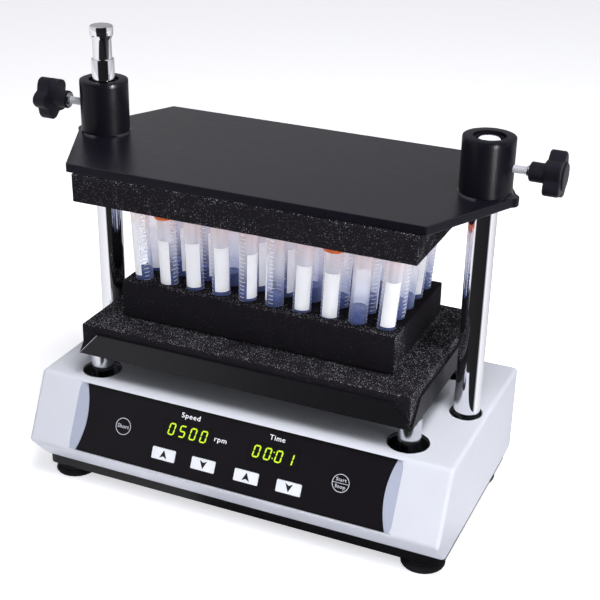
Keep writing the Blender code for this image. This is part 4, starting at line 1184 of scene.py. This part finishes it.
def build_hole_rims():
    """A thin bright lip round each opening in the housing's top, centred where its post circles."""
    bm = bmesh.new()
    shift = joint_place("drive_spin") - joint_place("table_turn")
    low, high = HOUSING_TOP - 1.6 * MM, HOUSING_TOP + 0.12 * MM
    for node in frame["nodes"]:
        if "_post_" in node:
            radius = CLAMP_HOLE if node.startswith("clamp") else SUPPORT_HOLE
            at = box_centre(node) + shift
            lip = flat_ring(radius - 0.6 * MM, radius + 0.25 * MM, low, high)
            merge(bm, lip, move(at.x, at.y, 0))
    add_piece("hole_rims", bm, "base", "satin_steel")


def build_rear():
    """Switch marks, two generic words and corner screws on the back."""
    turn = Matrix((Vector((-1, 0, 0)), Vector((0, 0, 1)), Vector((0, 1, 0)))).transposed().to_4x4()
    half, low, high = 0.3 * MM, 9.6 * MM, 11.6 * MM
    marks = extruded([(-half, low), (half, low), (half, high), (-half, high)], 0, INK_THICK)
    merge(marks, flat_ring(0.6 * MM, 1.05 * MM, 0, INK_THICK), move(0, -10.7 * MM, 0))
    centre = box_centre("switch_frame")
    marks.transform(move(centre.x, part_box("switch_frame")[1].y + INK_LIFT, centre.z) @ turn)
    add_piece("switch_marks", marks, "base", "key_white", WHITE_INK)
    low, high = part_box("top_housing")
    for node, words, width in (("switch_frame", "POWER", 17 * MM), ("power_inlet", "AC IN", 15 * MM)):
        at = move(box_centre(node).x, high.y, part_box(node)[1].z + 7 * MM) @ turn
        add_words(f"words_{node}", words, 5 * MM, width, at, "base", BLACK_INK)
    places = []
    for x in (low.x + 14 * MM, high.x - 14 * MM):
        places += [move(x, high.y, z) @ turn for z in (low.z + 9 * MM, high.z - 14 * MM)]
    build_screws("rear_screws", 3.2 * MM, 1.8 * MM, places)


def upright(node):
    """The foot of an upright round node, its height and its radius."""
    low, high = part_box(node)
    foot = Vector(((low.x + high.x) / 2, (low.y + high.y) / 2, low.z))
    return foot, high.z - low.z, (high.x - low.x) / 2


def stand_in(name, bm, foot, node, body, slot, material=None):
    """A round piece standing at foot that takes a node's place."""
    bm.transform(move(*foot))
    piece = add_piece(name, bm, body, slot, material)
    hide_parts(node)
    return piece


def smooth_copy(name, node, body, slot, sharp):
    """Takes a node's place with the same shape, its rounded parts shaded smooth."""
    bm = bmesh.new()
    bm.from_mesh(frame["nodes"][node].data)
    bmesh.ops.remove_doubles(bm, verts=bm.verts, dist=0.001 * MM)
    piece = add_piece(name, bm, body, slot, sharp=sharp)
    weighted = piece.modifiers.new("weighted", "WEIGHTED_NORMAL")
    weighted.keep_sharp = True
    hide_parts(node)


def build_smooth_copies():
    smooth_copy("clamp_plate", "pressure_plate", "clamp", "black_anodised", 30)
    for corner in CORNERS:
        smooth_copy(f"suction_foot_{corner}", f"foot_{corner}", "base", "black_rubber", 50)


def build_support_posts():
    for corner in CORNERS:
        node = f"support_post_{corner}"
        foot, height, radius = upright(node)
        rows = [(radius - POST_EDGE, 0), (radius, POST_EDGE), (radius, height - POST_EDGE)]
        bm = turned(rows + [(radius - POST_EDGE, height)], ROUND_STEPS)
        stand_in(f"table_post_{corner}", bm, foot, node, "table", "satin_steel")


def build_clamp_posts():
    """Chrome posts with a stepped spigot; the left one ends in a necked head."""
    for side in ("left", "right"):
        node = f"clamp_post_{side}"
        foot, height, radius = upright(node)
        step = POST_SHOULDER + HOUSING_TOP - foot.z
        spigot = radius - 1.6 * MM
        rows = [(radius - POST_EDGE, 0), (radius, POST_EDGE), (radius, step)]
        rows += [(spigot + 0.3 * MM, step + 1.3 * MM), (spigot, step + 1.6 * MM)]
        if side == "left":
            low, high = (level + HOUSING_TOP - foot.z for level in HEAD_NECK)
            rows += [(spigot, low - 0.8 * MM), (spigot - 0.25 * MM, low - 0.25 * MM)]
            rows += [(spigot - 0.8 * MM, low)]
            rows += [(NECK_RADIUS + 0.3 * MM, low), (NECK_RADIUS, low + 0.3 * MM), (NECK_RADIUS, high)]
            rows += [(HEAD_RADIUS - 0.4 * MM, high + 4.2 * MM), (HEAD_RADIUS, high + 4.8 * MM)]
            rows += [(HEAD_RADIUS, height - 1.4 * MM), (HEAD_RADIUS - 0.35 * MM, height - 0.5 * MM)]
            rows += [(HEAD_RADIUS - 1.2 * MM, height)]
        else:
            rows += [(spigot, height - POST_EDGE), (spigot - POST_EDGE, height)]
        bm = turned(rows, ROUND_STEPS)
        stand_in(f"chrome_post_{side}", bm, foot, node, "table", "chrome")


def build_collars():
    """Black clamp collars, tapped for the screws, with a bead at the foot."""
    for side, sign in (("left", -1), ("right", 1)):
        node = f"collar_{side}"
        foot, height, radius = upright(node)
        side_low, side_high = 0.6 * MM, height - 1.2 * MM
        steps = [side_low + (side_high - side_low) * i / 14 for i in range(15)]
        outer = [(radius, level) for level in steps] + [(radius - 0.35 * MM, height - 0.35 * MM)]
        inner = [(COLLAR_MOUTH, height), (COLLAR_MOUTH, height - 3 * MM), (COLLAR_BORE, height - 4.6 * MM)]
        rows = [(COLLAR_BORE, 0), (radius - 0.6 * MM, 0)] + outer + [(radius - 1.2 * MM, height)] + inner
        ring = turned_ring(rows, ROUND_STEPS)
        look = LOOKS["collar_black"]
        collar = stand_in(f"turned_collar_{side}", ring, foot, node, "clamp", "black_anodised", look)
        screw = box_centre(f"clamp_screw_{side}")
        tapped = turned([(4.2 * MM, 8 * MM), (4.2 * MM, 30 * MM)], 32)
        tapped.transform(axis_frame(foot.x, screw.z, sign))
        carve(collar, tapped)
        collar.data.set_sharp_from_angle(angle=math.radians(25))
        bead = flat_ring(radius - 0.5 * MM, radius + 0.4 * MM, 0, 0.6 * MM)
        bead.transform(move(*foot))
        add_piece(f"collar_bead_{side}", bead, "clamp", "black_anodised", LOOKS["satin_steel"])


def build_post_plug():
    """A white plastic plug in the top of the right-hand post."""
    profile = [(8.6 * MM, 0.2 * MM), (9.6 * MM, 0.2 * MM), (9.6 * MM, 3.4 * MM), (8.8 * MM, 4.1 * MM)]
    plug = turned(profile, 48)
    foot, height, radius = upright("clamp_post_right")
    plug.transform(move(foot.x, foot.y, foot.z + height))
    add_piece("post_plug_right", plug, "table", "key_white")


def build_tray_seams():
    """Bare metal showing along the mitred ends of the tray's flanges."""
    low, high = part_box("tray")
    bm = bmesh.new()
    for x, sign in ((low.x, 1), (high.x, -1)):
        for y, back in ((low.y, 1), (high.y, -1)):
            out = -back * 0.15 * MM
            foot = Vector((x + sign * 0.6 * MM, y + out, low.z + 0.6 * MM))
            head = Vector((x + sign * TRAY_CUT, y + out, high.z - 0.2 * MM))
            ahead = (head - foot).normalized()
            across = Vector((ahead.z, 0, -ahead.x)) * 0.16 * MM
            depth = Vector((0, back * 0.3 * MM, 0))
            ring = [-across, across, across + depth, depth - across]
            add_rings(bm, [[foot + p for p in ring], [head + p for p in ring]])
    add_piece("tray_seams", bm, "table", "satin_steel")


# -------- stage and light

FLOOR_SIZE = 16
# turn from -X, through -Y (0.25), +X (0.5) and +Y (0.75), back to -X; brightness there
STUDIO_BANDS = ((0.0, 0.8), (0.175, 0.95), (0.2, 0.02), (0.47, 0.015), (0.5, 1.0))
STUDIO_BANDS += ((0.6, 0.75), (0.75, 0.33), (1.0, 0.8))


def studio_bands(tree, direction):
    """What mirrors see: a white studio with a dark side in front and to the right of the machine."""
    split = add_node(tree, "SeparateXYZ", {"Vector": direction})
    angle = calculate(tree, "ARCTAN2", split.outputs["Y"], split.outputs["X"])
    inputs = {0: angle, 1: 0.5 / math.pi, 2: 0.5}
    turn = add_node(tree, "Math", inputs, operation="MULTIPLY_ADD").outputs[0]
    stops = [(at, (value * 0.96, value * 0.96, value)) for at, value in STUDIO_BANDS]
    return ramp(tree, turn, stops)


def floor_material():
    """Pale floor. Mirrors see it as part of the studio's light and dark sides."""
    material, tree, shader = new_material("stage_floor")
    feed(shader, {"Base Color": (0.9, 0.9, 0.92, 1), "Roughness": 0.7, "Specular IOR Level": 0.1})
    path = add_node(tree, "LightPath")
    seen = spread(tree, path.outputs["Is Camera Ray"], 0.12, 0.62, 0.0, 1.0)
    glow = add_node(tree, "Emission", {"Color": (0.97, 0.97, 1.0, 1), "Strength": seen})
    lit = add_node(tree, "AddShader", {0: shader.outputs[0], 1: glow.outputs[0]})
    place = add_node(tree, "TexCoord").outputs["Object"]
    mirrored = add_node(tree, "Emission", {"Color": studio_bands(tree, place), "Strength": 1.1})
    inputs = {0: path.outputs["Is Glossy Ray"], 1: lit.outputs[0], 2: mirrored.outputs[0]}
    mixed = add_node(tree, "MixShader", inputs)
    feed(tree.nodes["Material Output"], {"Surface": mixed.outputs[0]})
    return material


def make_floor():
    bm = bmesh.new()
    bmesh.ops.create_grid(bm, x_segments=1, y_segments=1, size=FLOOR_SIZE / 2)
    mesh = bpy.data.meshes.new("stage_floor")
    bm.to_mesh(mesh)
    bm.free()
    mesh.materials.append(floor_material())
    add_object("stage_floor", mesh)


def make_world():
    world = bpy.data.worlds.new("studio")
    bpy.context.scene.world = world
    world.use_nodes = True
    tree = world.node_tree
    tree.nodes.clear()
    path = add_node(tree, "LightPath")
    direction = add_node(tree, "TexCoord").outputs["Generated"]
    mirrored = add_node(tree, "Background", {"Color": studio_bands(tree, direction), "Strength": 0.8})
    soft = add_node(tree, "Background", {"Color": (0.93, 0.94, 1.0, 1), "Strength": 0.16})
    inputs = {0: path.outputs["Is Glossy Ray"], 1: soft.outputs[0], 2: mirrored.outputs[0]}
    mixed = add_node(tree, "MixShader", inputs)
    output = add_node(tree, "OutputWorld", {"Surface": mixed.outputs[0]})
    output.is_active_output = True


# lamps that only put a highlight on one collar: its side, turn from -Y in degrees, height, watts
COLLAR_STRIPS = (("right", 44, 0.27, 8), ("left", 72, 0.42, 16))
STRIP_DISTANCE = 0.8
# name, size, watts, place and target
LAMPS = (
    ("overhead", (1.6, 1.2), 0.8, (0.1, 0.25, 1.9), (0, 0, 0.15)),
    ("key", (0.9, 0.6), 36, (0.6, -0.6, 1.95), (0, 0, 0.15)),
    ("right_side", (1.0, 1.0), 12, (1.7, -0.5, 1.0), (0, 0, 0.1)),
    ("front_fill", (1.0, 0.8), 3, (0.3, -1.7, 0.6), (0, 0, 0.12)),
)


def area_light(name, size, power, location, target, only_for=None):
    """A rectangular lamp that lights matt surfaces, or one that only shows in one node's shine."""
    light = bpy.data.lights.new(name, "AREA")
    light.shape = "RECTANGLE"
    light.size, light.size_y = size
    light.energy = power
    lamp = add_object(name, light)
    lamp.location = location
    lamp.rotation_euler = (Vector(target) - Vector(location)).to_track_quat("-Z", "Y").to_euler()
    lamp.visible_camera = False
    lamp.visible_glossy = only_for is not None
    lamp.visible_diffuse = only_for is None
    if only_for:
        group = bpy.data.collections.new(name)
        group.objects.link(bpy.data.objects[only_for])
        lamp.light_linking.receiver_collection = group


def build_stage():
    make_floor()
    make_world()
    for lamp in LAMPS:
        area_light(*lamp)
    for side, azimuth, height, power in COLLAR_STRIPS:
        middle = box_centre(f"collar_{side}")
        turn = math.radians(azimuth)
        at = middle + STRIP_DISTANCE * Vector((math.sin(turn), -math.cos(turn), 0))
        at.z = height
        area_light(f"strip_{azimuth}", (0.05, 0.2), power, at, middle, f"turned_collar_{side}")
    bpy.context.scene.view_settings.view_transform = "Standard"


# -------- assembly

paint_shade_on_ramps()
dull_the_edges()
paint_glow_on_labels()
dress_frame()
build_foams()
build_tubes()
build_clamp_screws()
build_keypad()
build_base_screws()
build_hole_rims()
build_rear()
build_smooth_copies()
build_support_posts()
build_clamp_posts()
build_collars()
build_post_plug()
build_tray_seams()
build_stage()
make_camera()
